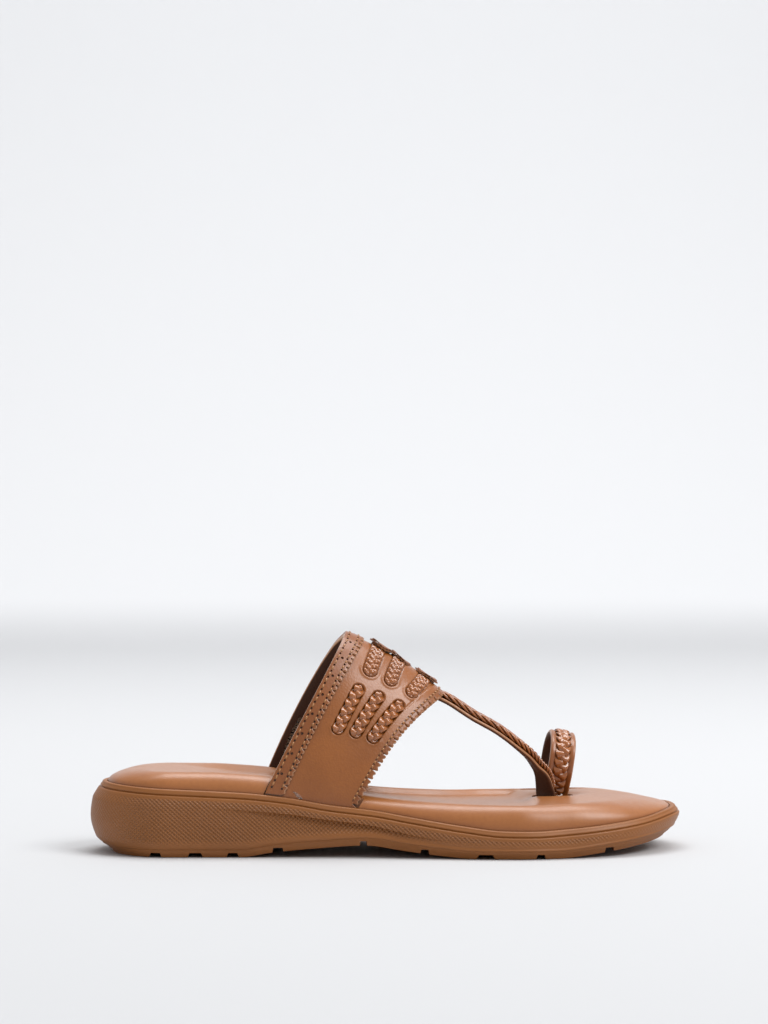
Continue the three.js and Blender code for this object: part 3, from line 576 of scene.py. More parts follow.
@dataclass(frozen=True)
class Leather:
    """Coated cowhide with a fine grain, polished.

    The grain gives small soft sparkle, and the slow mottling the uneven dye of real hide. Creases and
    recesses are darkened with painted shade.
    """

    name: str
    colour: str
    deep: str
    edge: str = "#c79a72"
    roughness: float = 0.4
    coat: float = 0.15
    coat_roughness: float = 0.25
    grain_mm: float = 0.9
    grain_depth_mm: float = 0.05
    mottle_mm: float = 22.0
    mottle: float = 0.5
    crease: float = 0.6
    crease_mm: float = 1.1
    ior: float = 1.5

    # The colour of the painted shade in creases and recesses.
    SHADE: ClassVar[str] = "#2b1407"

    def make(self) -> bpy.types.Material:
        """Make the material.

        Returns:
            The material.
        """
        material = empty_material(self.name)
        place = add_node(material, "TexCoord").outputs["Object"]
        slow = add_node(
            material, "TexNoise", {"Scale": 1 / (self.mottle_mm * MM), "Detail": 4.0}, {"Vector": place}
        )
        fine = add_node(
            material, "TexNoise", {"Scale": 1 / (self.grain_mm * 2 * MM), "Detail": 3.0}, {"Vector": place}
        )
        cells = add_node(
            material, "TexVoronoi",
            {"Scale": 1 / (self.grain_mm * MM), "feature": "SMOOTH_F1"}, {"Vector": place},
        )
        blend = add_node(
            material, "MapRange",
            {"From Min": 0.35, "From Max": 0.68, "To Min": 0.0, "To Max": self.mottle},
            {"Value": slow.outputs["Fac"]},
        )
        dye = add_node(
            material, "Mix",
            {"data_type": "RGBA", 6: hex_colour(self.colour), 7: hex_colour(self.deep)},
            {0: blend.outputs["Result"]},
        )
        pores = add_node(
            material, "MapRange", {"From Min": 0.35, "From Max": 0.9, "To Min": 0.0, "To Max": 0.3},
            {"Value": cells.outputs["Distance"]},
        )
        grained = add_node(
            material, "Mix", {"data_type": "RGBA", 7: hex_colour(self.deep)},
            {0: pores.outputs["Result"], 6: dye.outputs[2]},
        )
        worn = add_node(material, "Attribute", {"attribute_name": "edge"})
        final = add_node(
            material, "Mix", {"data_type": "RGBA", 7: hex_colour(self.edge)},
            {0: worn.outputs["Fac"], 6: grained.outputs[2]},
        )
        # Painted shade: ambient occlusion darkens creases, recesses and the gaps between parts towards
        # SHADE.
        hidden = add_node(
            material, "AmbientOcclusion", {"samples": 6, "Distance": self.crease_mm * MM}
        )
        crease_shade = add_node(
            material, "MapRange", {"From Min": 0.3, "From Max": 0.9, "To Min": self.crease, "To Max": 0.0},
            {"Value": hidden.outputs["AO"]},
        )
        crease_shaded = add_node(
            material, "Mix", {"data_type": "RGBA", 7: hex_colour(self.SHADE)},
            {0: crease_shade.outputs["Result"], 6: final.outputs[2]},
        )
        gloss = add_node(
            material, "MapRange",
            {"To Min": self.roughness - 0.08, "To Max": self.roughness + 0.1},
            {"Value": fine.outputs["Fac"]},
        )
        lumps = add_node(
            material, "Math", {"operation": "MULTIPLY_ADD", 1: 0.6},
            {0: fine.outputs["Fac"], 2: cells.outputs["Distance"]},
        )
        bump = add_node(
            material, "Bump", {"Strength": 1.0, "Distance": self.grain_depth_mm * MM},
            {"Height": lumps.outputs[0]},
        )
        shader = add_node(
            material, "BsdfPrincipled",
            {"IOR": self.ior, "Coat Weight": self.coat, "Coat Roughness": self.coat_roughness},
            {
                "Base Color": crease_shaded.outputs[2],
                "Roughness": gloss.outputs["Result"],
                "Normal": bump.outputs[0],
            },
        )
        add_node(material, "OutputMaterial", {}, {"Surface": shader.outputs[0]})
        return material


@dataclass(frozen=True)
class MouldedSole:
    """Foamed polyurethane, moulded with a fine diamond knurl on its side.

    The knurl turns the side matt and finely dotted, its pits darkened with painted shade, while its rim and
    ends stay smooth and satin.
    """

    name: str = "polyurethane_moulded_tan"
    colour: str = "#925926"
    # The dark colour of both the real stains and the painted shade in the knurl's pits.
    shade_and_stain: str = "#633712"
    roughness: float = 0.46
    knurl_long_mm: float = 1.9
    knurl_high_mm: float = 1.7
    knurl_slant: float = 0.0
    knurl_depth_mm: float = 0.6
    grain_mm: float = 0.7
    grain_depth_mm: float = 0.02
    ior: float = 1.5

    def make(self) -> bpy.types.Material:
        """Make the material.

        Returns:
            The material.
        """
        material = empty_material(self.name)
        chart = add_node(material, "UVMap", {"uv_map": "leather_mm"})
        split = add_node(material, "SeparateXYZ", {}, {0: chart.outputs[0]})
        slant = add_node(
            material, "Math", {"operation": "MULTIPLY_ADD", 1: self.knurl_slant},
            {0: split.outputs[1], 2: split.outputs[0]},
        )
        waves = []
        for run, pitch in ((slant, self.knurl_long_mm), (split, self.knurl_high_mm)):
            angle = add_node(
                material, "Math", {"operation": "MULTIPLY", 1: 2 * math.pi / pitch},
                {0: run.outputs[-1 if run is slant else 1]},
            )
            waves.append(add_node(material, "Math", {"operation": "SINE"}, {0: angle.outputs[0]}))
        bumps = add_node(
            material, "Math", {"operation": "MULTIPLY"}, {0: waves[0].outputs[0], 1: waves[1].outputs[0]}
        )
        mask = add_node(material, "Attribute", {"attribute_name": "knurl"})
        knurl = add_node(
            material, "Math", {"operation": "MULTIPLY"}, {0: bumps.outputs[0], 1: mask.outputs["Fac"]}
        )
        place = add_node(material, "TexCoord").outputs["Object"]
        slow = add_node(material, "TexNoise", {"Scale": 30.0, "Detail": 3.0}, {"Vector": place})
        fine = add_node(
            material, "TexNoise", {"Scale": 1 / (self.grain_mm * MM), "Detail": 2.0}, {"Vector": place}
        )
        # Painted shade: the knurl's pits are darkened towards the dark colour; the slow noise lays real
        # stains in the same colour.
        pit_shade = add_node(
            material, "MapRange", {"From Min": 0.0, "From Max": -1.0, "To Min": 0.0, "To Max": 0.6},
            {"Value": knurl.outputs[0]},
        )
        cloud = add_node(
            material, "MapRange", {"From Min": 0.4, "From Max": 0.7, "To Min": 0.0, "To Max": 0.2},
            {"Value": slow.outputs["Fac"]},
        )
        stain_and_pit_shade = add_node(
            material, "Math", {"operation": "MAXIMUM"}, {0: pit_shade.outputs[0], 1: cloud.outputs[0]}
        )
        colour = add_node(
            material, "Mix", {"data_type": "RGBA", 6: hex_colour(self.colour), 7: hex_colour(self.shade_and_stain)},
            {0: stain_and_pit_shade.outputs[0]},
        )
        rough = add_node(
            material, "MapRange", {"To Min": self.roughness - 0.05, "To Max": self.roughness + 0.08},
            {"Value": fine.outputs["Fac"]},
        )
        grain = add_node(
            material, "Bump", {"Distance": self.grain_depth_mm * MM}, {"Height": fine.outputs["Fac"]}
        )
        relief = add_node(
            material, "Bump", {"Distance": self.knurl_depth_mm * MM / 2},
            {"Height": knurl.outputs[0], "Normal": grain.outputs[0]},
        )
        shader = add_node(
            material, "BsdfPrincipled", {"IOR": self.ior},
            {"Base Color": colour.outputs[2], "Roughness": rough.outputs[0], "Normal": relief.outputs[0]},
        )
        add_node(material, "OutputMaterial", {}, {"Surface": shader.outputs[0]})
        return material


@dataclass(frozen=True)
class Paper:
    """Seamless matt studio paper, almost white, a shade lighter up its wall so that it reads as even."""

    name: str = "paper_matt_white"
    floor: str = "#c9cacc"
    wall: str = "#e1e2e4"
    roughness: float = 0.9

    def make(self) -> bpy.types.Material:
        """Make the material.

        Returns:
            The material.
        """
        material = empty_material(self.name)
        place = add_node(material, "TexCoord").outputs["Object"]
        fibre = add_node(material, "TexNoise", {"Scale": 900.0, "Detail": 2.0}, {"Vector": place})
        bump = add_node(material, "Bump", {"Distance": 0.00002}, {"Height": fibre.outputs["Fac"]})
        split = add_node(material, "SeparateXYZ", {}, {0: place})
        rise = add_node(
            material, "MapRange", {"interpolation_type": "SMOOTHSTEP", "From Min": 0.0, "From Max": 0.05},
            {"Value": split.outputs[2]},
        )
        tone = add_node(
            material, "Mix", {"data_type": "RGBA", 6: hex_colour(self.floor), 7: hex_colour(self.wall)},
            {0: rise.outputs["Result"]},
        )
        shader = add_node(
            material, "BsdfPrincipled", {"Roughness": self.roughness},
            {"Base Color": tone.outputs[2], "Normal": bump.outputs[0]},
        )
        add_node(material, "OutputMaterial", {}, {"Surface": shader.outputs[0]})
        return material


@dataclass(frozen=True)
class Wardrobe:
    """Every finish of the sandal, made once."""

    sole: bpy.types.Material
    footbed: bpy.types.Material
    band: bpy.types.Material
    trim: bpy.types.Material
    braid: bpy.types.Material
    ring: bpy.types.Material
    rosette: bpy.types.Material
    lining: bpy.types.Material
    thread: bpy.types.Material

    @classmethod
    def make(cls) -> "Wardrobe":
        """Make the finishes."""
        return cls(
            sole=MouldedSole().make(),
            footbed=Leather(
                "footbed_leather_glazed", "#a5652f", "#8c5020", roughness=0.38, coat=0.5,
                coat_roughness=0.36, grain_mm=1.2, grain_depth_mm=0.02, mottle=0.35,
            ).make(),
            band=Leather(
                "cowhide_coated_tan", "#9b5a22", "#7f4518", roughness=0.36, coat=0.4,
                coat_roughness=0.26, grain_mm=0.8, grain_depth_mm=0.08,
            ).make(),
            trim=Leather(
                "cowhide_pinked_tan", "#92521f", "#703b13", roughness=0.36, coat=0.35,
                grain_mm=0.8, grain_depth_mm=0.05,
            ).make(),
            braid=Leather(
                "cowhide_strip_glossy", "#a8622a", "#7a4216", roughness=0.22, coat=0.9,
                coat_roughness=0.12, grain_mm=0.7, grain_depth_mm=0.03,
            ).make(),
            ring=Leather(
                "cowhide_folded_tan", "#9a5a28", "#7a4218", roughness=0.34, coat=0.4,
                coat_roughness=0.2, grain_mm=0.8, grain_depth_mm=0.03,
            ).make(),
            rosette=Leather(
                "cowhide_leaf_tan", "#8a4d20", "#5f3110", roughness=0.5, coat=0.05,
                grain_mm=0.8, grain_depth_mm=0.05,
            ).make(),
            lining=Leather(
                "lining_suede_brown", "#4a2a16", "#341b0d", edge="#7c4d2b", roughness=0.75, coat=0.0,
                grain_mm=0.6, grain_depth_mm=0.06,
            ).make(),
            thread=Leather(
                "thread_waxed_tan", "#b27b48", "#8f5f30", roughness=0.35, coat=0.4,
                grain_mm=0.5, grain_depth_mm=0.03,
            ).make(),
        )


@dataclass(frozen=True)
class Sole:
    """The moulded unit sole: a cupped wall with a bead, an arch cut and a grooved tread."""

    last: Last
    tread: float = 3.5
    tread_step: float = 0.5
    arch_cut: float = 1.6
    arch_ledge: float = 0.03
    bead_drop: float = 2.4
    bead_depth: float = 0.7
    bead_half: float = 0.6
    edge_round: float = 0.8
    rim_round: float = 0.9
    groove_depth: float = 2.0
    groove_web: float = 3.0
    around: int = 600

    LEGS: ClassVar[tuple[int, ...]] = (10, 4, 6, 3, 22, 4, 20, 4, 4, 4, 4, 2, 3, 2, 4)

    def wall_high(self, turn: Field) -> Field:
        """Give the height of the wall at a turn."""
        x = self.last.outline(turn)[0]
        return self.last.rim_height(x) - self.last.under_height(x)

    def stops(self, turn: Field) -> list[Field]:
        """Give the shares of the wall's height between which its legs run.

        Args:
            turn: The turn round the outline, in radians.

        Returns:
            The shares, from the lowest up.
        """
        high = self.wall_high(turn)
        line = ARCH_LINE.read("line", self.last.share(self.last.outline(turn)[0]))
        return [
            self.edge_round / high,
            (self.tread - 0.25) / high,
            (self.tread + 0.25) / high,
            line,
            line + self.arch_ledge,
            1 - (self.bead_drop + self.bead_half) / high,
            1 - self.bead_drop / high,
            1 - (self.bead_drop - self.bead_half) / high,
            1 - self.rim_round / high,
        ]

    def wall_share(self, turn: Field, leg: Field, t: Field) -> Field:
        """Give the share of the wall's height on one of its legs.

        Args:
            turn: The turn round the outline, in radians.
            leg: The number of the leg.
            t: The share along it.

        Returns:
            The share.
        """
        stops = self.stops(turn)
        low = np.choose(np.clip(leg, 0, 7), stops[:-1])
        high = np.choose(np.clip(leg, 0, 7), stops[1:])
        return mix(low, high, t)

    def wall_depth(self, turn: Field, at: Field) -> Field:
        """Say how far the wall stands in with its step, arch cut and bead.

        Args:
            turn: The turn round the outline, in radians.
            at: The share of the wall's height.

        Returns:
            How far in, in mm.
        """
        high = self.wall_high(turn)
        where = self.last.share(self.last.outline(turn)[0])
        line = ARCH_LINE.read("line", where)
        deep = self.arch_cut * ARCH_LINE.read("deep", where)
        tread = (self.tread + 0.25) / high
        mixed = (at - tread) / (line - tread)
        cut = deep * smooth(mixed) * (1 - smooth((at - line) / self.arch_ledge))
        step = self.tread_step * smooth((at - tread) * high / 0.5 + 1) * (1 - smooth(mixed / 0.55))
        drop = (1 - at) * high
        bead = self.bead_depth * np.exp(-(((drop - self.bead_drop) / (0.55 * self.bead_half)) ** 2))
        return self.last.wall_inset(turn, at) + cut - step + bead

    def place(self, u: Field, v: Field) -> Field:
        """Give the sole's skin, from the middle of its underside round to its tray.

        Args:
            u: Shares along the grid's columns.
            v: Shares along its rows.

        Returns:
            Points on the skin.
        """
        last = self.last
        turn = 2 * np.pi * u
        leg, t = in_legs(v, self.LEGS)
        edge, tray_wall = self.edge_round, last.wall_inset(turn, 1.0) + last.rim_lip
        high = self.wall_high(turn)
        quarter = t * np.pi / 2
        at = self.wall_share(turn, leg - 2, t)
        low_edge = self.wall_depth(turn, edge / high)
        high_edge = self.wall_depth(turn, 1 - self.rim_round / high)
        top = self.rim_round
        depth = np.select(
            [leg <= 0, leg == 1, leg <= 9, leg == 10, leg == 11, leg == 12, leg >= 13],
            [
                low_edge + edge,
                low_edge + edge * (1 - np.sin(quarter)),
                self.wall_depth(turn, at),
                high_edge + top * (1 - np.cos(quarter)),
                mix(high_edge + top, tray_wall - 0.4, t),
                tray_wall - 0.4 + 0.4 * np.sin(quarter),
                tray_wall,
            ],
        )
        x, y = last.inset(turn, depth)
        middle_x, middle_y = last.spine(turn)
        inward = np.select([leg == 0, leg == 14], [1 - t, t], 0.0)
        x, y = mix(x, middle_x, inward), mix(y, middle_y, inward)
        under, rim = last.under_height(x), last.rim_height(x)
        z = np.select(
            [leg <= 0, leg == 1, leg <= 9, leg == 10, leg == 11, leg == 12, leg == 13, leg == 14],
            [
                under,
                under + edge * (1 - np.cos(quarter)),
                mix(under, rim, at),
                rim - top * (1 - np.sin(quarter)),
                rim,
                rim - 0.4 * (1 - np.cos(quarter)),
                mix(rim - 0.4, rim - last.tray, t),
                rim - last.tray,
            ],
        )
        return point(x, y, z)

    def chart(self, u: Field, v: Field) -> Field:
        """Chart the skin in mm around the shoe and up its wall.

        Args:
            u: Shares along the grid's columns.
            v: Shares along its rows.

        Returns:
            The length around and the height, in mm.
        """
        turn = 2 * np.pi * u
        z = self.place(u, v)[:, 2]
        return np.stack([self.last.perimeter(turn), z], axis=-1)

    def knurl(self, u: Field, v: Field) -> Field:
        """Mark where the side is knurled: below the bead, less at the heel and toe.

        Args:
            u: Shares along the grid's columns.
            v: Shares along its rows.

        Returns:
            The mask, 1 where the knurl is full.
        """
        turn = 2 * np.pi * u
        leg, t = in_legs(v, self.LEGS)
        high = self.wall_high(turn)
        at = self.wall_share(turn, leg - 2, t)
        low = smooth((at * high - self.tread - 1.0) / 3.5)
        top = smooth(((1 - at) * high - self.bead_drop - 1.2) / 1.2)
        heel, toe = self.last.faces(turn)
        ends = 1 - 0.75 * np.maximum(smooth(heel * 1.6), smooth(toe * 1.8))
        wall = (leg >= 3) & (leg <= 9)
        return np.where(wall, low * top * ends, 0.0)

    def grooves(self) -> list[bpy.types.Object]:
        """Make two tapered bars for each groove across the tread, with a web between them.

        Returns:
            The bars.
        """
        bars = []
        wide = GROOVES.values["wide"] * self.last.length
        sides = [(at, width, side) for at, width in zip(GROOVES.at, wide) for side in Side]
        for number, (at, width, side) in enumerate(sides):
            x = float(at * self.last.length)
            top = float(self.last.under_height(np.array(x))) + self.groove_depth
            mesh = bpy.data.meshes.new(f"groove_{number}")
            body = bmesh.new()
            bmesh.ops.create_cube(body, size=1.0)
            for vert in body.verts:
                high = vert.co.z > 0
                vert.co.x *= 1.5 if high else 2.7
                vert.co.z = top if high else -self.groove_depth
            bmesh.ops.scale(body, vec=(width / 2, self.last.ball_width, 1.0), verts=body.verts)
            y = side.value * (self.last.ball_width + self.groove_web) / 2
            bmesh.ops.translate(body, vec=(x, y, 0), verts=body.verts)
            bmesh.ops.scale(body, vec=(MM, MM, MM), verts=body.verts)
            body.to_mesh(mesh)
            body.free()
            bar = bpy.data.objects.new(mesh.name, mesh)
            bpy.context.scene.collection.objects.link(bar)
            bars.append(bar)
        return bars

    def build(self, finishes: Wardrobe) -> None:
        """Build, cut and dress the sole.

        Args:
            finishes: The finishes.
        """
        skin = Sheet(
            "moulded_sole", self.around, sum(self.LEGS), self.place, self.chart, {"knurl": self.knurl}
        ).build()
        carve(skin, self.grooves(), crease=35)
        fit(skin, [finishes.sole], Slot.SOLE, ["outsole"])


@dataclass(frozen=True)
class Lens:
    """A pointed oval slot through the footbed, in mm."""

    name: str
    x: float
    y: float
    long: float
    wide: float

    POWER: ClassVar[float] = 2.2

    def reach(self, x: Field, y: Field) -> Field:
        """Say how far outside the slot a point lies, about in mm."""
        along = np.abs((x - self.x) / (self.long / 2)) ** self.POWER
        ratio = along + np.abs((y - self.y) / (self.wide / 2)) ** self.POWER
        return (ratio ** (1 / self.POWER) - 1) * self.wide / 2

    def cutter(self, low: float, high: float) -> bpy.types.Object:
        """Make the solid that cuts the slot between two heights."""

        def place(u: Field, v: Field) -> Field:
            """Give the slot's wall.

            Args:
                u: Shares along the grid's columns.
                v: Shares along its rows.

            Returns:
                Points on the wall.
            """
            angle = 2 * np.pi * u
            cos, sin = np.cos(angle), np.sin(angle)
            size = (np.abs(cos) ** self.POWER + np.abs(sin) ** self.POWER) ** (-1 / self.POWER)
            x = self.x + self.long / 2 * cos * size
            y = self.y + self.wide / 2 * sin * size
            return point(x, y, mix(low, high, v))

        return Sheet(self.name, 64, 4, place).build()


@dataclass(frozen=True)
class Footbed:
    """The padded footbed: glazed leather drawn over foam, dished under the foot."""

    last: Last
    dish: float = 2.4
    dish_front: float = 65.0
    shoulder: float = 7.0
    heel_shoulder: float = 11.0
    toe_shoulder: float = 17.0
    lip: float = 0.9
    lip_width: float = 2.6
    around: int = 420
    toe_slot: Lens = Lens("toe_slot", 72.5, 11.2, 18.2, 11.4)
    ring_slit: Lens = Lens("ring_slit", 74.2, 37.1, 15.7, 4.4)

    LEGS: ClassVar[tuple[int, ...]] = (4, 4, 26, 40)

    def edge(self, turn: Field) -> Field:
        """Say how far in the footbed's edge stands."""
        return self.last.wall_inset(turn, 1.0) + self.last.rim_lip + self.last.gap

    def radius(self, turn: Field) -> Field:
        """Say how far the shoulder runs in from the edge."""
        heel, toe = self.last.faces(turn)
        return self.shoulder + self.heel_shoulder * heel + self.toe_shoulder * toe

    def sunk(self, x: Field, y: Field, deep: Field) -> Field:
        """Say how deep the top is dished.

        Args:
            x: Places along the shoe, in mm.
            y: Places across it, in mm.
            deep: The share of the full dish.

        Returns:
            The depth in mm.
        """
        heel = smooth((x + self.last.length / 2 - self.last.heel_spine) / 34)
        bow = (y - self.last.centre_y(x)) ** 2 / 300
        front = smooth((self.dish_front - x - bow) / 8)
        return self.dish * deep * heel * front

    def drawn(self, x: Field, y: Field) -> Field:
        """Say how far the leather is drawn down beside the slots.

        Args:
            x: Places along the shoe, in mm.
            y: Places across it, in mm.

        Returns:
            The depth in mm.
        """
        total = 0.0
        for lens in (self.toe_slot, self.ring_slit):
            away = np.maximum(0.0, lens.reach(x, y))
            total = total + self.lip * np.exp(-((away / self.lip_width) ** 1.5))
        return total

    def place(self, u: Field, v: Field) -> Field:
        """Give the footbed's skin, from the middle of its floor round to the middle of its top.

        Args:
            u: Shares along the grid's columns.
            v: Shares along its rows.

        Returns:
            Points on the skin.
        """
        last = self.last
        turn = 2 * np.pi * u
        leg, t = in_legs(v, self.LEGS)
        edge, radius = self.edge(turn), self.radius(turn)
        angle = t * np.pi / 2
        depths = [edge, edge + radius * (1 - np.cos(angle)), edge + radius]
        depth = np.select([leg <= 1, leg == 2, leg == 3], depths)
        x, y = last.inset(turn, depth)
        middle_x, middle_y = last.spine(turn)
        inward = np.select([leg == 0, leg == 3], [1 - t, t], 0.0)
        x, y = mix(x, middle_x, inward), mix(y, middle_y, inward)
        floor = last.rim_height(x) - last.tray + last.gap
        base = last.rim_height(x) - 0.4
        rest = last.rest_height(x)
        from_shoulder = np.hypot(*(a - b for a, b in zip((x, y), last.inset(turn, edge + radius))))
        soft = mix(9.0, 4.5, smooth((x + 62) / 40))
        top = rest - self.sunk(x, y, smooth(from_shoulder / soft)) - self.drawn(x, y) * (leg == 3)
        z = np.select(
            [leg == 0, leg == 1, leg == 2, leg == 3],
            [floor, mix(floor, base, t), base + (rest - base) * np.sin(angle), top],
        )
        return point(x, y, z)

    def chart(self, u: Field, v: Field) -> Field:
        """Chart the skin in mm around and across."""
        return np.stack([self.last.perimeter(2 * np.pi * u), v * 90], axis=-1)

    def build(self, finishes: Wardrobe, band: "Band") -> None:
        """Build, cut and dress the footbed.

        Args:
            finishes: The finishes.
            band: The band, which gives the pockets for its feet.
        """
        skin = Sheet("footbed_pad", self.around, sum(self.LEGS), self.place, self.chart).build()
        low, high = 12.0, 32.0
        cutters = [self.toe_slot.cutter(low, high), self.ring_slit.cutter(low, high)]
        carve(skin, cutters + band.pockets(), crease=50)
        fit(skin, [finishes.footbed], Slot.FOOTBED, ["footbed"])


@dataclass(frozen=True)
class BraidSeat:
    """Where one braid lies on the band, and how it is plaited.

    Attributes:
        name: The end of its node's name.
        girth: Its two ends as shares of each half girth, outer side negative.
        across: Its two ends as shares of the band's width.
        bow: How far its middle lies back, as a share of the band's width.
        wide: Its width as a share of the common one.
    """

    name: str
    girth: tuple[float, float]
    across: tuple[float, float]
    bow: float
    wide: float


BRAIDS = (
    BraidSeat("outer_rear", (-0.588, -0.307), (0.448, 0.412), 0.0, 1.0),
    BraidSeat("outer_middle", (-0.577, -0.297), (0.648, 0.638), 0.0, 1.0),
    BraidSeat("outer_front", (-0.573, -0.289), (0.845, 0.86), 0.0, 1.0),
    BraidSeat("crest_rear", (-0.242, 0.242), (0.42, 0.42), 0.07, 1.2),
    BraidSeat("crest_middle", (-0.238, 0.238), (0.65, 0.65), 0.08, 1.1),
    BraidSeat("crest_front", (-0.235, 0.235), (0.862, 0.862), 0.02, 1.08),
    BraidSeat("inner_rear", (0.588, 0.307), (0.448, 0.412), 0.0, 1.0),
    BraidSeat("inner_middle", (0.577, 0.297), (0.648, 0.638), 0.0, 1.0),
    BraidSeat("inner_front", (0.573, 0.289), (0.845, 0.86), 0.0, 1.0),
)


class BandForm:
    """The inner face of the instep band, by shares of girth u and of width v."""

    BACK = -54.2
    FOOT = 34.5
    INNER_LEAN = 2.7
    CREST_BACK = -18.4
    CREST_LENGTH = 39.8
    CREST_BOW = 2.4
    CREST_Y = 3.0
    INSTEP = 89.8
    THROAT = 66.8
    BACK_SWEEP = 1.08
    FRONT_SWEEP = 1.18
    FRONT_HOLLOW = 5.0
    WALL = 2.2
    REACH = 1.02
    SHARES = (-0.06, 1.16)

    def __init__(self, last: Last) -> None:
        """Measure the face out so that equal steps of u are equal lengths of leather.

        Args:
            last: The form that the band stands on.
        """
        self.last = last
        self.u = np.linspace(-self.REACH, self.REACH, 1021)
        self.v = np.linspace(*self.SHARES, 245)
        a = np.linspace(-1, 1, 801)
        grid = self.curve(a[:, None], self.v[None, :])
        steps = np.linalg.norm(np.diff(grid, axis=0), axis=-1)
        run = np.concatenate([np.zeros((1, len(self.v))), np.cumsum(steps, axis=0)])
        run -= run[400]
        self.girths = np.stack([-run[0], run[-1]])
        share = run / np.where(run < 0, self.girths[0], self.girths[1])
        even = np.stack([np.interp(self.u, share[:, j], a) for j in range(len(self.v))], axis=1)
        even = np.where(np.abs(self.u[:, None]) > 1, self.u[:, None], even)
        self.inner = self.curve(even, self.v[None, :])
        self.along_u = np.gradient(self.inner, self.u, axis=0)
        self.along_v = np.gradient(self.inner, self.v, axis=1)
        self.out = unit(np.cross(self.along_v, self.along_u))

    def curve(self, a: Field, v: Field) -> Field:
        """Give the face before it is measured out, a from -1 at one foot over the crest to 1.

        Args:
            a: Where along the half circle.
            v: Shares of width.

        Returns:
            Points in mm.
        """
        last = self.last
        side = np.where(a < 0, -1.0, 1.0)
        foot_x = self.BACK + self.FOOT * v
        stands_in = last.bulge * 0.15 + last.rim_lip + last.gap + self.WALL
        foot_y = last.side_y(foot_x, side) - side * stands_in
        past = np.maximum(0, np.abs(a) - 1) * last.length
        foot_z = last.rim_height(foot_x) - last.tray + 2 * last.gap - past
        crest_x = self.CREST_BACK + self.CREST_LENGTH * v
        crest_z = mix(self.INSTEP, self.THROAT, v) + 4 * self.CREST_BOW * v * (1 - v)
        angle = np.minimum(1, np.abs(a)) * np.pi / 2
        up = np.maximum(0, np.cos(angle))
        sweep = up ** mix(self.BACK_SWEEP, self.FRONT_SWEEP, v)
        hollow = self.FRONT_HOLLOW * v * np.sin(2 * angle) ** 2
        lean = self.INNER_LEAN * (1 - 0.6 * v) * np.sin(2 * angle) * smooth(angle / 0.35) * (side > 0)
        return point(
            mix(foot_x, crest_x, sweep) - hollow - lean,
            mix(self.CREST_Y, foot_y, np.sin(angle)),
            foot_z + (crest_z - last.rim_height(foot_x) + last.tray - 2 * last.gap) * up,
        )

    def read(self, values: Field, u: Field, v: Field) -> Field:
        """Read a measured grid between its lines.

        Args:
            values: The grid.
            u: Shares of girth.
            v: Shares of width.

        Returns:
            The values there.
        """
        u, v = np.broadcast_arrays(u, v)
        i = np.clip((u - self.u[0]) / (self.u[1] - self.u[0]), 0, len(self.u) - 1.001)
        j = np.clip((v - self.v[0]) / (self.v[1] - self.v[0]), 0, len(self.v) - 1.001)
        low_i, low_j = i.astype(int), j.astype(int)
        s, t = (i - low_i)[..., None], (j - low_j)[..., None]
        near = mix(values[low_i, low_j], values[low_i, low_j + 1], t)
        far = mix(values[low_i + 1, low_j], values[low_i + 1, low_j + 1], t)
        return mix(near, far, s)

    def point(self, u: Field, v: Field, high: Field) -> Field:
        """Give a point above the inner face."""
        rise = np.asarray(high, float)[..., None]
        return self.read(self.inner, u, v) + unit(self.read(self.out, u, v)) * rise

    def girth(self, v: float, side: Side) -> float:
        """Give the half girth in mm on one side."""
        return float(np.interp(v, self.v, self.girths[0 if side is Side.OUTER else 1]))

    def sidestep(self, u: Field, v: Field, along: Field, mm: Field) -> tuple[Field, Field]:
        """Turn a step in mm across a line on the band into shifts of u and v.

        Args:
            u: Shares of girth.
            v: Shares of width.
            along: The line's direction, in u and v.
            mm: The length of the step.

        Returns:
            The shifts.
        """
        along_u, along_v = self.read(self.along_u, u, v), self.read(self.along_v, u, v)
        ahead = along_u * along[..., :1] + along_v * along[..., 1:]
        across = unit(np.cross(unit(self.read(self.out, u, v)), unit(ahead)))
        uu, vv = (along_u**2).sum(-1), (along_v**2).sum(-1)
        uv = (along_u * along_v).sum(-1)
        au, av = (across * along_u).sum(-1), (across * along_v).sum(-1)
        scale = mm / (uu * vv - uv * uv)
        return (au * vv - av * uv) * scale, (av * uu - au * uv) * scale

    def squared(self, u: Field, v: float) -> Field:
        """Give how far u shifts for each share of v on a line square to the band's edge."""
        along_u, along_v = self.read(self.along_u, u, v), self.read(self.along_v, u, v)
        return -(along_u * along_v).sum(-1) / (along_u**2).sum(-1)

    def at_rim(self, side: Side, v: float, high: float, above: float) -> float:
        """Find the share of girth where a layer comes down to the sole's rim.

        Args:
            side: The side of the shoe.
            v: The share of width.
            high: The layer's height above the inner face.
            above: How far above the rim it ends.

        Returns:
            The share of girth.
        """
        shares = side.value * np.linspace(0.5, 1.0, 400)
        points = self.point(shares, np.full_like(shares, v), np.full_like(shares, high))
        clear = points[:, 2] > self.last.rim_height(points[:, 0]) + above
        return float(shares[np.nonzero(clear)[0][-1]])


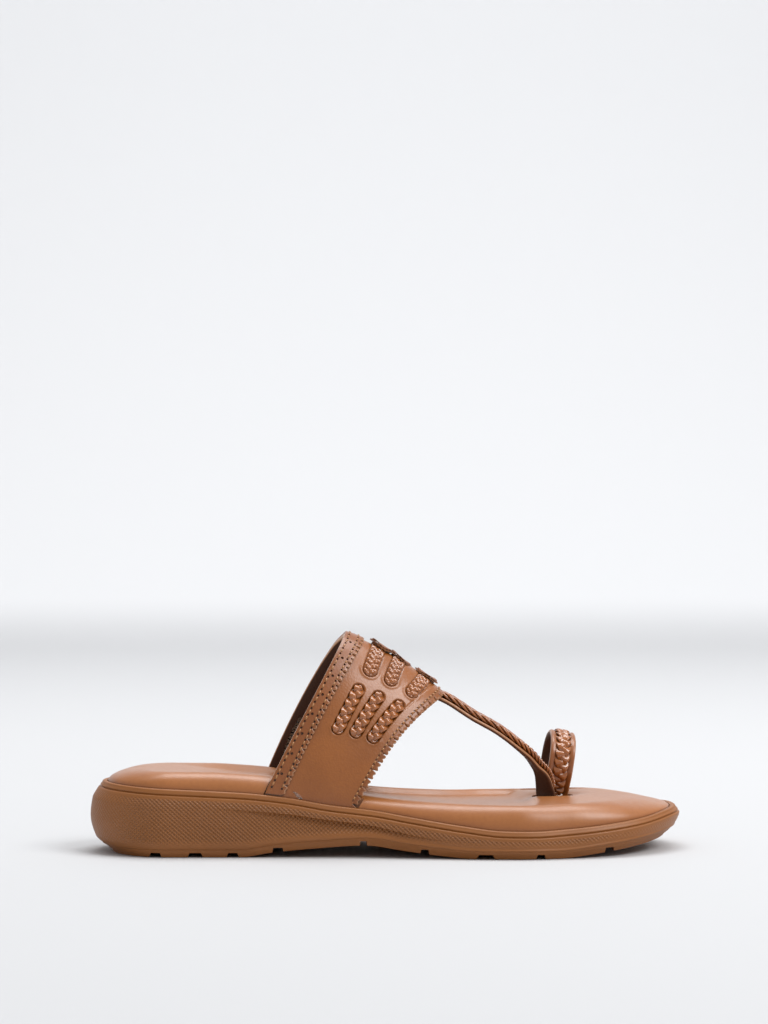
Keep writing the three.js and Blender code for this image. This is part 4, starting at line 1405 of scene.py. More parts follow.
@dataclass(frozen=True)
class BraidRun:
    """The run of one braid over the band."""

    form: BandForm
    seat: BraidSeat

    def line(self, s: Field) -> tuple[Field, Field, Field]:
        """Give the braid's middle line in u and v, and its direction there.

        Args:
            s: Shares along the braid.

        Returns:
            u, v and the direction.
        """
        seat = self.seat
        u = mix(seat.girth[0], seat.girth[1], s)
        v = mix(seat.across[0], seat.across[1], s) - 4 * seat.bow * s * (1 - s)
        across = seat.across[1] - seat.across[0] - 4 * seat.bow * (1 - 2 * s)
        along = np.stack(np.broadcast_arrays(seat.girth[1] - seat.girth[0], across), axis=-1)
        return u, v, along

    def place(self, s: Field, across: Field, high: Field) -> Field:
        """Give a point beside the middle line, across and high in mm.

        Args:
            s: Shares along the braid.
            across: Steps to the side.
            high: Heights above the band's inner face.

        Returns:
            Points in mm.
        """
        u, v, along = self.line(s)
        step_u, step_v = self.form.sidestep(u, v, along, across)
        return self.form.point(u + step_u, v + step_v, high)

    def length(self) -> float:
        """Measure the braid's middle line in mm.

        Returns:
            The length.
        """
        s = np.linspace(0, 1, 200)
        line = self.place(s, np.zeros_like(s), np.full_like(s, BandForm.WALL))
        return float(np.linalg.norm(np.diff(line, axis=0), axis=-1).sum())


@dataclass(frozen=True)
class Plait:
    """A flat plait of leather strips, in mm. Its chevrons point to its start.

    Attributes:
        width: Its whole width.
        centre: The height of its middle above the surface it lies on.
        rise: How far each strip swings up and down.
        thick: The thickness of a strip.
        period: The length after which a strip comes back to its place.
        dive: How far its ends are drawn down.
        strips: How many strips it has, an odd number.
        strip_share: The width of a strip, as a share of the plait's.
        sides: How many faces lie round a strip.
    """

    width: float
    centre: float
    rise: float = 0.95
    thick: float = 1.5
    period: float = 12.3
    dive: float = 0.9
    strips: int = 3
    strip_share: float = 0.58
    sides: int = 16

    SQUARE: ClassVar[float] = 2.5

    def build(
        self, name: str, length: float, place: Callable[[Field, Field, Field], Field]
    ) -> bpy.types.Object:
        """Sweep the strips along a run and join them.

        Args:
            name: The name of the plait.
            length: The length of its run.
            place: The run, from share, step across and height to points.

        Returns:
            The plait.
        """
        steps = round(length / self.period * 16 * self.strips)
        made = []
        for number in range(self.strips):
            def skin(u: Field, v: Field, phase: float = number / self.strips) -> Field:
                """Give one strip's skin."""
                return self.strip(u, v, phase, length, place)

            made.append(Sheet(f"{name}_{number}", steps, self.sides, skin, crease=75).build())
        return join(name, made)

    def strip(
        self, u: Field, v: Field, phase: float, length: float, place: Callable[[Field, Field, Field], Field]
    ) -> Field:
        """Give the skin of one strip.

        Args:
            u: Shares along it.
            v: Shares round it.
            phase: Its start, as a share of the period.
            length: The length of the run.
            place: The run.

        Returns:
            Points on the skin.
        """
        wide = self.width * self.strip_share
        swing = (self.width - wide * 0.92) / 2
        run = u * length
        left = np.maximum(0, 1 - np.minimum(run, length - run) / (self.width / 2))
        taper = np.sqrt(np.maximum(0.04, 1 - left * left))
        angle = 2 * np.pi * (run / self.period + phase)
        across = swing * np.sin(angle) * taper
        over = np.sin((self.strips - 1) * angle)
        slope = swing * np.cos(angle) * 2 * np.pi / self.period
        size = np.hypot(1.0, slope)
        cos, sin = np.cos(2 * np.pi * v), np.sin(2 * np.pi * v)
        square = (np.abs(cos) ** self.SQUARE + np.abs(sin) ** self.SQUARE) ** (-1 / self.SQUARE)
        side = wide / 2 * cos * square * np.maximum(0.3, taper)
        high = self.centre + self.rise * over * taper - self.dive * left**2
        high = high + self.thick / 2 * sin * square
        shares = np.clip((run - side * slope / size) / length, 0, 1)
        return place(shares, across + side / size, high)


@dataclass(frozen=True)
class Opening:
    """The round ended opening that a braid is let into."""

    run: BraidRun
    half: float
    room: float = -0.1
    depth: float = 1.0
    lip: float = 0.35
    lip_width: float = 1.1

    def reach(self, points: Field) -> tuple[Field, Field]:
        """Say how far outside the opening each point lies, and how near to its lower end.

        Args:
            points: Points in mm.

        Returns:
            The distances in mm, and 1 at the lower end down to 0.
        """
        length = self.run.length()
        inside = np.clip((self.half - 0.25) / length, 0, 0.45)
        s = np.linspace(inside, 1 - inside, 90)
        line = self.run.place(s, np.zeros_like(s), np.full_like(s, BandForm.WALL))
        away = np.full(len(points), 1e9)
        low = np.zeros(len(points))
        near = np.linalg.norm(points - line.mean(0), axis=1) < length
        found = points[near]
        apart = np.linalg.norm(found[:, None, :] - line[None, :, :], axis=2)
        nearest = apart.argmin(1)
        away[near] = apart[np.arange(len(found)), nearest] - self.half - self.room
        low[near] = 1 - s[nearest]
        return away, low

    def relief(self, away: Field, low: Field) -> Field:
        """Say how far the leather is drawn down into the opening or turned up round it.

        Args:
            away: How far outside the opening each point lies.
            low: How near it is to the lower end, from 0 to 1.

        Returns:
            The relief in mm.
        """
        drawn = self.depth * smooth((0.5 - away) / 0.95)
        turned = self.lip * np.exp(-(((away - 0.8) / (self.lip_width / 1.6)) ** 2))
        return turned * smooth((low - 0.8) / 0.2) - drawn


@dataclass(frozen=True)
class StitchRow:
    """A row of stitches along the band.

    Attributes:
        ends: Its two ends as shares of girth.
        across: Its share of the band's width, from its share of girth.
        high: The height of the leather's face.
        pitch: The length of a stitch in mm.
    """

    ends: tuple[float, float]
    across: Surface
    high: float
    pitch: float

    def shares(self, form: BandForm) -> Field:
        """Give the shares of girth of the needle holes."""
        length = form.girth(0.5, Side.OUTER) * -self.ends[0] + form.girth(0.5, Side.INNER) * self.ends[1]
        return np.linspace(*self.ends, round(length / self.pitch) + 2)[1:-1]

    def holes(self, form: BandForm) -> tuple[Field, Field]:
        """Give where the needle holes lie."""
        u = self.shares(form)
        return u, self.across(u)

    def stitches(self, form: BandForm) -> tuple[Field, Field]:
        """Give where the middles of the stitches lie.

        Args:
            form: The form of the band.

        Returns:
            Shares of girth and of width.
        """
        u = self.shares(form)
        between = (u[1:] + u[:-1]) / 2
        return between, self.across(between)


class Band:
    """The instep band with its braids, trims and rosettes."""

    WIDTH_MM = 47
    GIRTH_MM = 118
    TRIM_WIDTH = 0.2
    TRIM_THICK = 1.0
    REAR_TOOTH = 4.4
    FRONT_TOOTH = 3.95
    TOOTH_SHARE = 0.045
    EDGE_STRIP = 0.09
    STRIP_THICK = 1.9
    OVERLAP = 0.022
    FRONT_NOTCH = 0.062
    PLAIT_WIDTH = 5.2
    HOLE_SPACE = 9.1
    HOLE = 1.3
    NEEDLE = 1.05
    REAR_ROW = 0.036
    TOOTH_ROW = 0.062
    TOOTH_HOLE = 0.022
    FRONT_ROW = -0.011
    FINE_GIRTH = 0.62
    LEGS: ClassVar[tuple[int, ...]] = (128, 4, 16, 4)
    STRIP_LEGS: ClassVar[tuple[int, ...]] = (12, 2, 4, 2)
    GIRTH_STEPS: ClassVar[tuple[int, ...]] = (70, 420, 70)
    ROSETTES: ClassVar[tuple[tuple[str, float, float, float], ...]] = (
        ("rear", 0.37, -0.11, 0.3), ("middle", 0.58, -0.13, -0.5), ("front", 0.85, 0.05, 0.2),
    )

    def __init__(self, last: Last) -> None:
        """Measure out the band and find its openings.

        Args:
            last: The form that the band stands on.
        """
        self.last = last
        self.form = BandForm(last)
        self.openings = [
            Opening(BraidRun(self.form, seat), self.PLAIT_WIDTH * seat.wide / 2) for seat in BRAIDS
        ]

    def girth_share(self, u: Field) -> Field:
        """Crowd the grid's columns where the openings are.

        Args:
            u: Shares along the grid's columns.

        Returns:
            Shares of girth.
        """
        leg, t = in_legs(u, self.GIRTH_STEPS)
        ends = np.array([-1.0, -self.FINE_GIRTH, self.FINE_GIRTH, 1.0])
        return mix(ends[leg], ends[leg + 1], t)

    def front_reach(self, girth: Field) -> Field:
        """Say how far the front edge runs on over the pinked strip, as a share of the band's width."""
        return self.OVERLAP * mix(0.4, 1.0, smooth(np.abs(girth) / 0.6))

    def face_relief(self, u: Field, v: Field) -> Field:
        """Give the relief of the outer face.

        Args:
            u: Shares of girth.
            v: Shares of width.

        Returns:
            The relief in mm.
        """
        points = self.form.point(u, v, np.full_like(u, self.form.WALL))
        relief = np.zeros_like(u)
        for opening in self.openings:
            away, low = opening.reach(points)
            here = away < 3
            relief[here] += opening.relief(away[here], low[here])
        front = (1 - v) * self.WIDTH_MM
        fold = 0.3 * np.exp(-(((front - 3.4) / 0.4) ** 2)) * (1 - smooth((np.abs(u) - 0.27) / 0.08))
        swell = 0.2 * np.sin(9 * u + 5 * v) * np.sin(7 * v - 3 * u + 1)
        return relief - fold + swell

    def skin(self, u: Field, v: Field) -> Field:
        """Give the band's skin: outer face, front edge, inner face and rear edge.

        Args:
            u: Shares along the grid's columns.
            v: Shares along its rows.

        Returns:
            Points on the skin.
        """
        girth = self.girth_share(u)
        leg, t = in_legs(v, self.LEGS)
        wall = self.form.WALL
        turn = t * np.pi
        front = 1 + self.front_reach(girth)
        across = np.select(
            [leg == 0, leg == 1, leg == 2, leg == 3],
            [t * front, front + 0.01 * np.sin(turn), (1 - t) * front, -0.012 * np.sin(turn)],
        )
        relief = np.zeros_like(u)
        outer = leg == 0
        relief[outer] = self.face_relief(girth[outer], across[outer])
        high = np.select(
            [outer, leg == 1, leg == 2, leg == 3],
            [wall + relief, wall / 2 * (1 + np.cos(turn)), 0.0, wall / 2 * (1 - np.cos(turn))],
        )
        return self.form.point(girth, across, high)

    def worn(self, u: Field, v: Field) -> Field:
        """Mark the light cut edges."""
        leg = in_legs(v, self.LEGS)[0]
        return np.select([leg == 1, leg == 3], [0.1, 0.7], 0.0)

    def pockets(self) -> list[bpy.types.Object]:
        """Make the solids that clear the footbed for the feet of the band.

        Returns:
            The solids.
        """
        made = []
        for side in Side:
            def place(u: Field, v: Field, sign: int = side.value) -> Field:
                """Give the pocket's skin round one foot."""
                girth = sign * mix(0.6, 1.02, u)
                leg, t = in_legs(v, (12, 1, 12, 1))
                legs = [leg == 0, leg == 1, leg == 2, leg == 3]
                across = np.select(legs, [mix(-0.02, 1.12, t), 1.12, mix(1.12, -0.02, t), -0.02])
                high = np.select(legs, [3.4, mix(3.4, -0.3, t), -0.3, mix(-0.3, 3.4, t)])
                return self.form.point(girth, across, high)

            made.append(Sheet(f"pocket_{side.name.lower()}", 24, 26, place).build())
        return made

    def build(self, finishes: Wardrobe) -> None:
        """Build and dress the band and everything it carries.

        Args:
            finishes: The finishes.
        """

        def zones(u: Field, v: Field) -> Field:
            """Line the inner face."""
            return np.where(in_legs(v, self.LEGS)[0] == 2, 1, 0)

        def chart(u: Field, v: Field) -> Field:
            """Chart the band in mm along its girth and width."""
            across = in_legs(v, self.LEGS)[1] * self.WIDTH_MM
            return np.stack([self.girth_share(u) * self.GIRTH_MM, across], axis=-1)

        skin = Sheet(
            "instep_band", sum(self.GIRTH_STEPS), sum(self.LEGS), self.skin, chart,
            {"edge": self.worn}, zones, crease=70,
        ).build()
        holes = self.front_row().holes(self.form)
        carve(skin, [self.punches("front_needle_holes", *holes, self.form.WALL, self.NEEDLE)], 70)
        fit(skin, [finishes.band, finishes.lining], Slot.BAND, ["upper"])
        self.build_braids(finishes)
        self.build_trims(finishes)
        self.build_rosettes(finishes)

    def build_braids(self, finishes: Wardrobe) -> None:
        """Plait every braid along its own run."""
        for seat in BRAIDS:
            run = BraidRun(self.form, seat)
            width = self.PLAIT_WIDTH * seat.wide
            top = self.form.WALL + 1.0
            if seat.bow:
                plait = Plait(
                    width, top - 1.25, rise=0.5, thick=1.1, period=15.5, strips=5, strip_share=0.4
                )
            else:
                plait = Plait(width, top - 1.35)
            piece = plait.build(f"plait_{seat.name}", run.length(), run.place)
            fit(piece, [finishes.braid], Slot.BRAID, [f"braid_{seat.name}"])

    def teeth(self, u: Field, ends: tuple[float, float], count: int) -> Field:
        """Give the outline of pinked teeth with two points each, 0 in the valleys and 1 on the points.

        Args:
            u: Shares of girth.
            ends: The two ends of the edge.
            count: How many teeth it has.

        Returns:
            The outline.
        """
        place = np.mod((u - ends[0]) / (ends[1] - ends[0]) * count, 1)
        middle = 2 * np.minimum(place, 1 - place)
        return smooth(middle / 0.36) * (1 - 0.28 * smooth((middle - 0.45) / 0.5))

    def rear_edge(self, u: Field) -> Field:
        """Give the share of width of the rear trim's tips."""
        return self.TRIM_WIDTH * mix(0.94, 1.14, np.abs(u))

    def build_trims(self, finishes: Wardrobe) -> None:
        """Build the rear trim and the front strip with their stitches and holes.

        Args:
            finishes: The finishes.
        """
        form = self.form
        low = form.WALL - 0.1
        ends = tuple(form.at_rim(side, 0.1, low, 0.6) for side in Side)
        length = form.girth(0.1, Side.OUTER) * -ends[0] + form.girth(0.1, Side.INNER) * ends[1]
        rear_count = round(length / self.REAR_TOOTH)
        front_ends = (-0.97, 0.97)
        whole = form.girth(1.0, Side.OUTER) + form.girth(1.0, Side.INNER)
        front_count = round(whole * 0.97 / self.FRONT_TOOTH)

        def rear(u: Field, v: Field) -> Field:
            """Give the rear trim's skin.

            Args:
                u: Shares along the grid's columns.
                v: Shares along its rows.

            Returns:
                Points on the skin.
            """
            girth = mix(*ends, u)
            tip = self.rear_edge(girth) - self.TOOTH_SHARE * (1 - self.teeth(girth, ends, rear_count))
            shift = form.squared(girth, 0.0) * smooth(np.minimum(girth - ends[0], ends[1] - girth) / 0.25)
            return self.strip_skin(girth, v, -0.006, tip, low, self.TRIM_THICK + 0.3, shift)

        def front(u: Field, v: Field) -> Field:
            """Give the front strip's skin.

            Args:
                u: Shares along the grid's columns.
                v: Shares along its rows.

            Returns:
                Points on the skin.
            """
            girth = mix(*front_ends, u)
            size = mix(0.65, 1, smooth(np.abs(girth) / 0.6))
            low_part = self.FRONT_NOTCH * (1 - self.teeth(girth, front_ends, front_count))
            tip = 1 + size * (self.EDGE_STRIP - low_part)
            return self.strip_skin(girth, v, 0.94, tip, 0.1, self.STRIP_THICK, form.squared(girth, 1.0))

        edges = {"edge": lambda u, v: np.where(in_legs(v, self.STRIP_LEGS)[0] == 1, 0.6, 0.0)}
        top = low + self.TRIM_THICK + 0.3
        rows = [
            StitchRow(ends, lambda u: np.full_like(u, self.REAR_ROW), top, 2.87),
            StitchRow(ends, lambda u: self.rear_edge(u) - self.TOOTH_ROW, top, 2.65),
        ]
        rows_round = sum(self.STRIP_LEGS)
        trim = Sheet("pinked_trim", 14 * rear_count, rows_round, rear, None, edges, crease=45).build()
        holes = int(length / self.HOLE_SPACE)
        shares = np.linspace(*ends, holes + 2)[1:-1]
        punches = [self.punches("eyelets", shares, np.full(holes, 0.078), top, self.HOLE)]
        punches += [self.punches("needle_holes", *row.holes(form), top, self.NEEDLE) for row in rows]
        middles = np.linspace(*ends, 2 * rear_count + 1)[7:-7:2]
        across = self.rear_edge(middles) - self.TOOTH_HOLE
        middles = middles + form.squared(middles, 0.0) * across
        punches.append(self.punches("tooth_holes", middles, across, top, self.NEEDLE * 0.8))
        carve(trim, punches, crease=45)
        fit(trim, [finishes.trim], Slot.TRIM, ["rear_trim"])
        strip = Sheet("pinked_strip", 14 * front_count, rows_round, front, None, edges, crease=45).build()
        fit(strip, [finishes.trim], Slot.TRIM, ["front_trim"])
        rows.append(self.front_row())
        fit(self.sew(rows), [finishes.thread], Slot.TRIM, [])

    def front_row(self) -> "StitchRow":
        """Give the row of stitches along the front edge."""
        return StitchRow(
            (-0.93, 0.93), lambda u: 1 + self.front_reach(u) + self.FRONT_ROW, self.form.WALL, 2.27
        )

    def strip_skin(
        self, girth: Field, v: Field, back: float, tip: Field, low: float, thick: float, shift: Field
    ) -> Field:
        """Give the skin of a flat strip with a pinked front edge.

        Args:
            girth: Shares of girth.
            v: Shares round the strip's section.
            back: The share of width of its rear edge.
            tip: The share of width of its front edge.
            low: The height of its underside.
            thick: Its thickness.
            shift: How far its girth shifts for each share of width from the band's edge.

        Returns:
            Points on the skin.
        """
        leg, t = in_legs(v, self.STRIP_LEGS)
        across = np.select(
            [leg == 0, leg == 1, leg == 2, leg == 3], [mix(back, tip, t), tip, mix(tip, back, t), back]
        )
        from_edge = np.minimum(across - back, tip - across) * self.WIDTH_MM
        crown = thick - 0.22 * (1 - smooth(from_edge / 0.9))
        edge_high = low + (thick - 0.22) * (1 - t)
        high = np.select(
            [leg == 0, leg == 1, leg == 2, leg == 3],
            [low + crown, edge_high, low, low + (thick - 0.22) * t],
        )
        return self.form.point(girth + shift * (across - round(back)), across, high)

    def punches(self, name: str, u: Field, v: Field, high: float, wide: float) -> bpy.types.Object:
        """Make the round punches for a row of holes.

        Args:
            name: The name of the row.
            u: Each hole's share of girth.
            v: Each hole's share of width.
            high: The height of the leather's face.
            wide: The width of a hole.

        Returns:
            All punches as one piece.
        """
        seats = self.form.point(u, v, np.full(len(u), high))
        outs = unit(self.form.read(self.form.out, u, v))
        mesh = bpy.data.meshes.new(name)
        body = bmesh.new()
        for seat, out in zip(seats, outs):
            turn = Vector(out).to_track_quat("Z", "Y").to_matrix().to_4x4()
            bmesh.ops.create_cone(
                body, cap_ends=True, segments=12, radius1=wide / 2.6 * MM, radius2=wide / 1.8 * MM,
                depth=1.6 * MM, matrix=Matrix.Translation(Vector(seat) * MM) @ turn,
            )
        body.to_mesh(mesh)
        body.free()
        tool = bpy.data.objects.new(name, mesh)
        bpy.context.scene.collection.objects.link(tool)
        return tool

    def sew(self, rows: "Sequence[StitchRow]") -> bpy.types.Object:
        """Sew the stitches of every row, as one piece.

        Args:
            rows: The rows of stitches.

        Returns:
            The stitches.
        """
        form = self.form
        mesh = bpy.data.meshes.new("stitches")
        body = bmesh.new()
        for row in rows:
            u, v = row.stitches(form)
            seats = form.point(u, v, np.full(len(u), row.high))
            ahead = unit(form.read(form.along_u, u, v))
            outs = unit(form.read(form.out, u, v))
            for seat, x, y, z in zip(seats, ahead, np.cross(outs, ahead), outs):
                turn = Matrix((x, y, z)).transposed().to_4x4()
                size = Matrix.Diagonal((row.pitch * 0.3 * MM, 0.42 * MM, 0.42 * MM, 1.0))
                bmesh.ops.create_icosphere(
                    body, subdivisions=2, radius=1.0,
                    matrix=Matrix.Translation(Vector(seat) * MM) @ turn @ size,
                )
        body.to_mesh(mesh)
        body.free()
        thread = bpy.data.objects.new("trim_stitches", mesh)
        bpy.context.scene.collection.objects.link(thread)
        thread.data.shade_smooth()
        return thread

    def build_rosettes(self, finishes: Wardrobe) -> None:
        """Build the pinked leaves along the crest, each over a smaller dark sheet that is painted shadow
        under them.
        """
        for name, across, tilt, rise in self.ROSETTES:
            # Painted shadow: the smaller, thicker under leaf is all dark lining, standing in for the shade
            # in the gap under the pinked leaves.
            under = Rosette(self.form, across, tilt * 0.5, size=9.0, rise=rise - 0.7, thick=1.0, shadow_sheet=True)
            low = Rosette(self.form, across, tilt, size=11.8, rise=rise)
            high = Rosette(self.form, across, tilt * 1.2, size=10.2, rise=rise + 0.55)
            layers = {"under": under, "low": low, "high": high}
            leaves = [layer.leaf(f"leaf_{name}_{key}") for key, layer in layers.items()]
            piece = join(f"leaf_{name}", leaves)
            fit(piece, [finishes.rosette, finishes.lining], Slot.ROSETTE, [f"rosette_{name}"])


@dataclass(frozen=True)
class Rosette:
    """A round pinked leaf of thin leather, one end lifted."""

    form: BandForm
    across: float
    tilt: float
    size: float
    rise: float
    thick: float = 0.32
    teeth: int = 18
    curl: float = 0.3
    # Whether the whole leaf is dark lining, as painted shadow under the others.
    shadow_sheet: bool = False

    def leaf(self, name: str) -> bpy.types.Object:
        """Build the leaf.

        Args:
            name: Its name.

        Returns:
            The leaf.
        """
        u, v = np.array(0.0), np.array(self.across)
        seat = self.form.point(u, v, np.array(self.form.WALL + self.rise))
        front = unit(self.form.read(self.form.along_v, u, v))
        out = unit(self.form.read(self.form.out, u, v))
        wide = np.cross(out, front)
        legs = (7, 1, 7)

        def place(a: Field, b: Field) -> Field:
            """Give the leaf's skin, under face, edge and upper face.

            Args:
                a: Shares round the leaf.
                b: Shares from its middle out to its edge and back.

            Returns:
                Points on the skin.
            """
            angle = 2 * np.pi * a
            leg, t = in_legs(b, legs)
            share = np.select([leg == 0, leg == 1, leg == 2], [t, 1.0, 1 - t])
            tooth = 1 - np.abs(np.mod(a * self.teeth * 2, 2) - 1)
            radius = self.size / 2 * share * (1 - 0.17 * (1 - tooth) * share**4)
            ahead, side = radius * np.cos(angle), radius * np.sin(angle)
            wave = self.curl * share**2 * np.cos(3 * angle + self.across * 20)
            droop = -side * side / 60
            lift = abs(self.tilt) * self.size / 2 + self.tilt * ahead + wave + droop
            layer = self.thick * np.select([leg == 0, leg == 1, leg == 2], [0.0, t, 1.0])
            return seat + front * ahead[:, None] + wide * side[:, None] + out * (lift + layer)[:, None]

        def zones(a: Field, b: Field) -> Field:
            """Line the leaf's under face, and the whole of a painted shadow sheet."""
            return np.where((in_legs(b, legs)[0] == 0) | self.shadow_sheet, 1, 0)

        edges = {"edge": lambda a, b: np.where(in_legs(b, legs)[0] == 1, 0.4, 0.0)}
        return Sheet(name, self.teeth * 8, sum(legs), place, None, edges, zones, crease=45).build()


TOE_STRAP_ROWS = (
    (0.1032, 0.033, 0.692, 1.0, 0), (0.1443, 0.034, 0.617, 0.98, 0), (0.1854, 0.042, 0.551, 0.95, 0),
    (0.2228, 0.055, 0.472, 0.92, 2), (0.2432, 0.065, 0.422, 0.9, 6), (0.2552, 0.072, 0.379, 0.88, 13),
    (0.2643, 0.078, 0.347, 0.86, 29), (0.2686, 0.083, 0.318, 0.85, 41), (0.2715, 0.087, 0.278, 0.84, 56),
    (0.2737, 0.089, 0.238, 0.84, 75), (0.2745, 0.09, 0.167, 0.84, 85),
)
RING_ROWS = (
    (-0.38, 0.31), (-0.385, 0.46), (-0.44, 0.57), (-0.5, 0.69), (-0.485, 0.81), (-0.39, 0.915),
    (-0.2, 0.98), (0.0, 1.0), (0.2, 0.98), (0.39, 0.915), (0.485, 0.81), (0.5, 0.69), (0.44, 0.57),
    (0.385, 0.46), (0.38, 0.31),
)


class Strap:
    """A flat strap along a path, with a plait laid on its outer face."""

    THICK = 1.8
    LEGS: ClassVar[tuple[int, ...]] = (6, 8, 12, 8, 6)

    def __init__(self, path: Table, width: float, rim: float, rim_rise: float, lean: float = 0.0) -> None:
        """Keep the strap's path and section.

        Args:
            path: Rows of at, x, y, z, wide and twist.
            width: Its width in mm, which the path's wide column shares out.
            rim: The width of each raised rim.
            rim_rise: How far the rims stand up.
            lean: How far its width direction falls for each mm ahead.
        """
        self.lean = lean
        self.path = path
        self.width = width
        self.rim = rim
        self.rim_rise = rim_rise

    def spot(self, s: Field) -> Field:
        """Give the path's points."""
        return point(*(self.path.read(key, s) for key in "xyz"))

    def axes(self, s: Field) -> tuple[Field, Field]:
        """Give the strap's width direction and the way its face looks.

        Args:
            s: Shares along the path.

        Returns:
            The two directions.
        """
        ahead = unit(self.spot(np.minimum(1, s + 0.01)) - self.spot(np.maximum(0, s - 0.01)))
        twist = np.radians(self.path.read("twist", s))
        wide = unit(point(np.sin(twist), -np.cos(twist), -self.lean))
        return wide, unit(np.cross(wide, ahead))

    def place(self, s: Field, across: Field, high: Field) -> Field:
        """Give a point beside the path, across and high in mm."""
        wide, out = self.axes(s)
        return self.spot(s) + wide * np.asarray(across)[..., None] + out * np.asarray(high)[..., None]

    def length(self, start: float, end: float) -> float:
        """Measure a stretch of the path in mm."""
        line = self.spot(np.linspace(start, end, 200))
        return float(np.linalg.norm(np.diff(line, axis=0), axis=-1).sum())

    def skin(self, u: Field, v: Field) -> Field:
        """Give the strap's skin: half its back, an edge, its face, an edge, and half its back.

        Args:
            u: Shares along the path.
            v: Shares round the section.

        Returns:
            Points on the skin.
        """
        half = self.width / 2 * self.path.read("wide", u)
        leg, t = in_legs(v, self.LEGS)
        edge = self.THICK / 2
        turn = (t - 0.5) * np.pi
        inner = half - edge * 0.8
        across = np.select(
            [leg == 0, leg == 1, leg == 2, leg == 3, leg == 4],
            [
                inner * t,
                inner + edge * 0.8 * np.cos(turn),
                mix(inner, -inner, t),
                -inner - edge * 0.8 * np.cos(turn),
                -inner * (1 - t),
            ],
        )
        from_rim = half - np.abs(across)
        rise = self.rim_rise * (1 - smooth((from_rim - self.rim * 0.75) / (self.rim * 0.5)))
        high = np.select(
            [leg == 0, leg == 1, leg == 2, leg == 3, leg == 4],
            [
                -edge,
                mix(-edge, edge + rise, (1 + np.sin(turn)) / 2),
                edge + rise,
                mix(edge + rise, -edge, (1 + np.sin(turn)) / 2),
                -edge,
            ],
        )
        return self.place(u, across, high)

    def build(
        self, name: str, steps: int, start: float, end: float, plait: Plait
    ) -> tuple[bpy.types.Object, bpy.types.Object]:
        """Build the strap and its plait.

        Args:
            name: The strap's name.
            steps: How many faces lie along it.
            start: Where the plait starts, as a share of the path.
            end: Where it ends.
            plait: How it is plaited.

        Returns:
            The strap and the plait.
        """

        def zones(u: Field, v: Field) -> Field:
            """Line the strap's back and the lower part of its edges.

            Args:
                u: Shares along the grid's columns; not used.
                v: Shares along its rows.

            Returns:
                0 for the face and 1 for the lining.
            """
            leg, t = in_legs(v, self.LEGS)
            low = ((leg == 1) & (t < 0.5)) | ((leg == 3) & (t > 0.5))
            return np.where((leg == 0) | (leg == 4) | low, 1, 0)

        def worn(u: Field, v: Field) -> Field:
            """Mark the light edges."""
            leg, t = in_legs(v, self.LEGS)
            return np.where((leg == 1) | (leg == 3), 0.35 * np.sin(t * np.pi), 0.0)

        marks = {"edge": worn}
        strap = Sheet(name, steps, sum(self.LEGS), self.skin, None, marks, zones, crease=70).build()

        def along(s: Field, across: Field, high: Field) -> Field:
            """Place the plait on the strap's face."""
            return self.place(mix(start, end, s), across, high)

        return strap, plait.build(f"{name}_plait", self.length(start, end), along)


class ToeHold:
    """The toe strap and the toe ring."""

    STRAP_WIDTH = 10.0
    STRAP_LEAD = 0.8
    PLAIT_WIDTH = 8.0
    RING_WIDTH = 11.0
    RING_SPAN = 29.0
    RING_TOP = 46.3
    RING_X = 0.2933
    RING_Y = 0.2804
    RING_LEAN = 0.165
    RING_FOOT = 22.0
    RING_RIM = 2.2
    RING_RIM_RISE = 0.6
    RING_PLAIT = 6.4

    def __init__(self, last: Last, band: BandForm) -> None:
        """Lay out both paths.

        Args:
            last: The form of the shoe.
            band: The form of the instep band.
        """
        lead = []
        for at, v, high in ((0.0, 0.45, -0.75), (0.07, 0.62, -0.75), (0.17, 0.95, -2.6)):
            spot = band.point(np.array(0.0), np.array(v), np.array(high))
            lead.append((at, *spot, self.STRAP_LEAD, 0))
        count = len(TOE_STRAP_ROWS) - 1
        rows = [
            (0.24 + 0.76 * i / count, x * last.length, y * last.ball_width, z * band.INSTEP, wide, twist)
            for i, (x, y, z, wide, twist) in enumerate(TOE_STRAP_ROWS)
        ]
        self.strap = Strap(Table("at x y z wide twist", lead + rows), self.STRAP_WIDTH, 1.0, 0.0)
        ring = []
        for i, (across, high) in enumerate(RING_ROWS):
            z = self.RING_TOP * high
            x = self.RING_X * last.length + self.RING_LEAN * (z - self.RING_FOOT)
            y = self.RING_Y * last.ball_width + self.RING_SPAN * across
            ring.append((i / (len(RING_ROWS) - 1), x, y, z, 1.0, 90))
        path = Table("at x y z wide twist", ring)
        self.ring = Strap(path, self.RING_WIDTH, self.RING_RIM, self.RING_RIM_RISE, self.RING_LEAN)

    def build(self, finishes: Wardrobe) -> None:
        """Build and dress the strap, the ring and their plaits.

        Args:
            finishes: The finishes.
        """
        plait = Plait(self.PLAIT_WIDTH, 2.3, rise=0.9, thick=1.5, period=8.2, dive=0.2)
        strap, braid = self.strap.build("toe_strap", 220, 0.2, 0.88, plait)
        fit(strap, [finishes.band, finishes.lining], Slot.BAND, ["upper"])
        fit(braid, [finishes.braid], Slot.BRAID, ["toe_strap_braid"])
        plait = Plait(self.RING_PLAIT, 1.05, rise=0.75, thick=1.2, period=11.0, dive=0.2)
        ring, braid = self.ring.build("ring_loop", 200, 0.04, 0.96, plait)
        fit(ring, [finishes.ring, finishes.lining], Slot.RING, ["toe_ring"])
        fit(braid, [finishes.braid], Slot.BRAID, ["toe_ring_braid"])


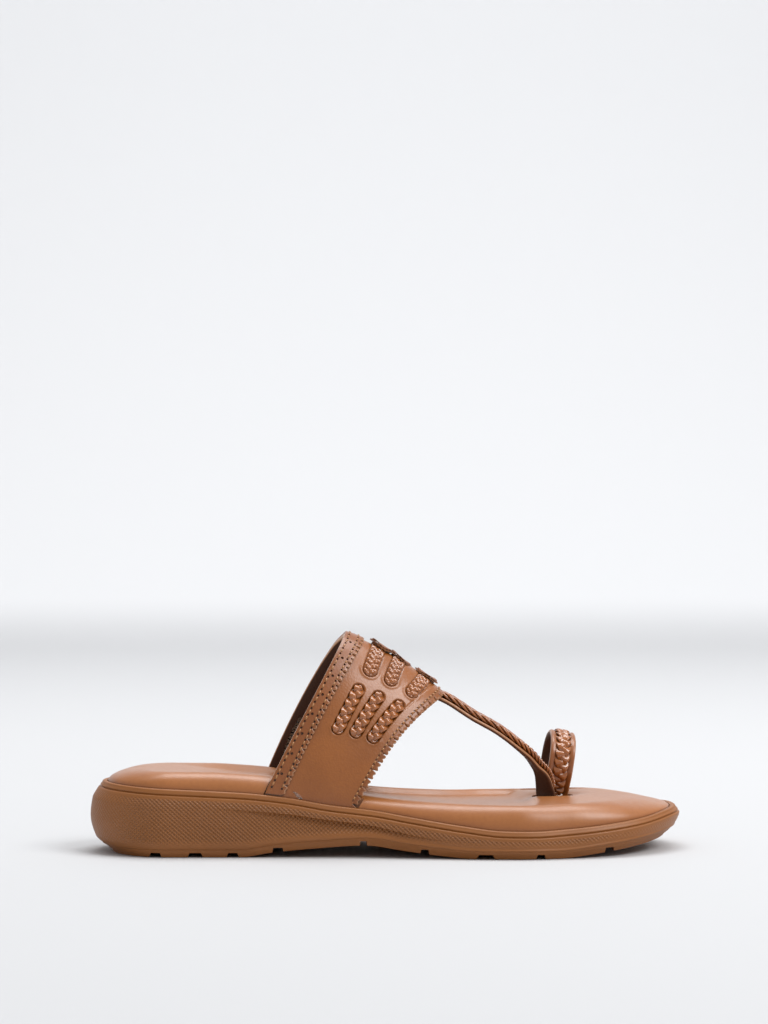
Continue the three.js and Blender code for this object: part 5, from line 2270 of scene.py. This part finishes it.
@dataclass(frozen=True)
class Studio:
    """The pale paper sweep, the soft lights and the camera at the photograph's angle."""

    paper_front: float = -2.6
    paper_back: float = 1.7
    paper_side: float = 3.0
    paper_round: float = 0.8
    paper_top: float = 3.2
    yaw: float = math.radians(3.0)
    camera_high: float = 0.144
    camera_away: float = 1.2
    camera_shift: float = -0.0013
    lens: float = 98.4375
    world: float = 0.51

    def sweep(self, u: Field, v: Field) -> Field:
        """Give the paper: a floor that turns up into a wall.

        Args:
            u: Shares across the paper.
            v: Shares along it.

        Returns:
            Points in mm.
        """
        flat = self.paper_back - self.paper_front
        arc = self.paper_round * np.pi / 2
        rise = self.paper_top - self.paper_round
        run = v * (flat + arc + rise)
        angle = np.clip((run - flat) / self.paper_round, 0, np.pi / 2)
        up = np.maximum(0, run - flat - arc)
        y = self.paper_front + np.minimum(run, flat) + self.paper_round * np.sin(angle)
        z = self.paper_round * (1 - np.cos(angle)) + up
        return point(mix(-self.paper_side, self.paper_side, u), y, z) / MM

    def light(self, name: str, place: Vector, aim: Vector, size: tuple[float, float], power: float) -> None:
        """Hang one soft light.

        Args:
            name: Its name.
            place: Where it hangs.
            aim: What it looks at.
            size: Its width and height in metres.
            power: Its power in watts.
        """
        data = bpy.data.lights.new(name, "AREA")
        data.shape = "RECTANGLE"
        data.size, data.size_y = size
        data.energy = power
        lamp = bpy.data.objects.new(name, data)
        lamp.location = place
        lamp.rotation_euler = (aim - place).to_track_quat("-Z", "Y").to_euler()
        bpy.context.scene.collection.objects.link(lamp)

    def build(self) -> None:
        """Set the stage."""
        scene = bpy.context.scene
        paper = Sheet("paper_sweep", 8, 96, self.sweep, shut=False).build()
        paper.data.materials.append(Paper().make())
        paper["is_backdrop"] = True
        world = bpy.data.worlds.new("studio")
        world.use_nodes = True
        world.node_tree.nodes["Background"].inputs["Color"].default_value = hex_colour("#f6f6f7")
        world.node_tree.nodes["Background"].inputs["Strength"].default_value = self.world
        scene.world = world
        shoe = Vector((0, 0, 0.03))
        self.light("key_softbox", Vector((1.7, -1.1, 2.1)), shoe, (1.5, 1.3), 46.0)
        self.light("top_softbox", Vector((0.2, 0.5, 2.4)), shoe, (1.8, 1.4), 36.0)
        wall = Vector((0.0, 2.2, 0.9))
        self.light("paper_softbox", Vector((0.0, 0.1, 1.9)), wall, (2.4, 0.6), 16.0)
        data = bpy.data.cameras.new("camera")
        data.sensor_width = 36.0
        data.lens = self.lens
        camera = bpy.data.objects.new("camera", data)
        camera.location = (
            self.camera_shift - self.camera_away * math.sin(self.yaw),
            -self.camera_away * math.cos(self.yaw),
            self.camera_high,
        )
        camera.rotation_euler = (math.pi / 2, 0, -self.yaw)
        scene.collection.objects.link(camera)
        scene.camera = camera
        scene.view_settings.view_transform = "Standard"


def write_sizes() -> None:
    """Measure the frame's box and the dressed shoe's box."""
    boxes = {"cad": CAD_BOX, "visual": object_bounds()}
    plain = {name: [list(corner) for corner in box] for name, box in boxes.items()}


def main() -> None:
    """Build the sandal in the order it is made: stage, sole, footbed, band, toe strap and ring."""
    logging.basicConfig(level=logging.INFO, format="%(name)s: %(message)s")
    last = Last()
    finishes = Wardrobe.make()
    Studio().build()
    band = Band(last)
    Sole(last).build(finishes)
    Footbed(last).build(finishes, band)
    band.build(finishes)
    ToeHold(last, band.form).build(finishes)
    write_sizes()


if __name__ == "__main__":
    main()
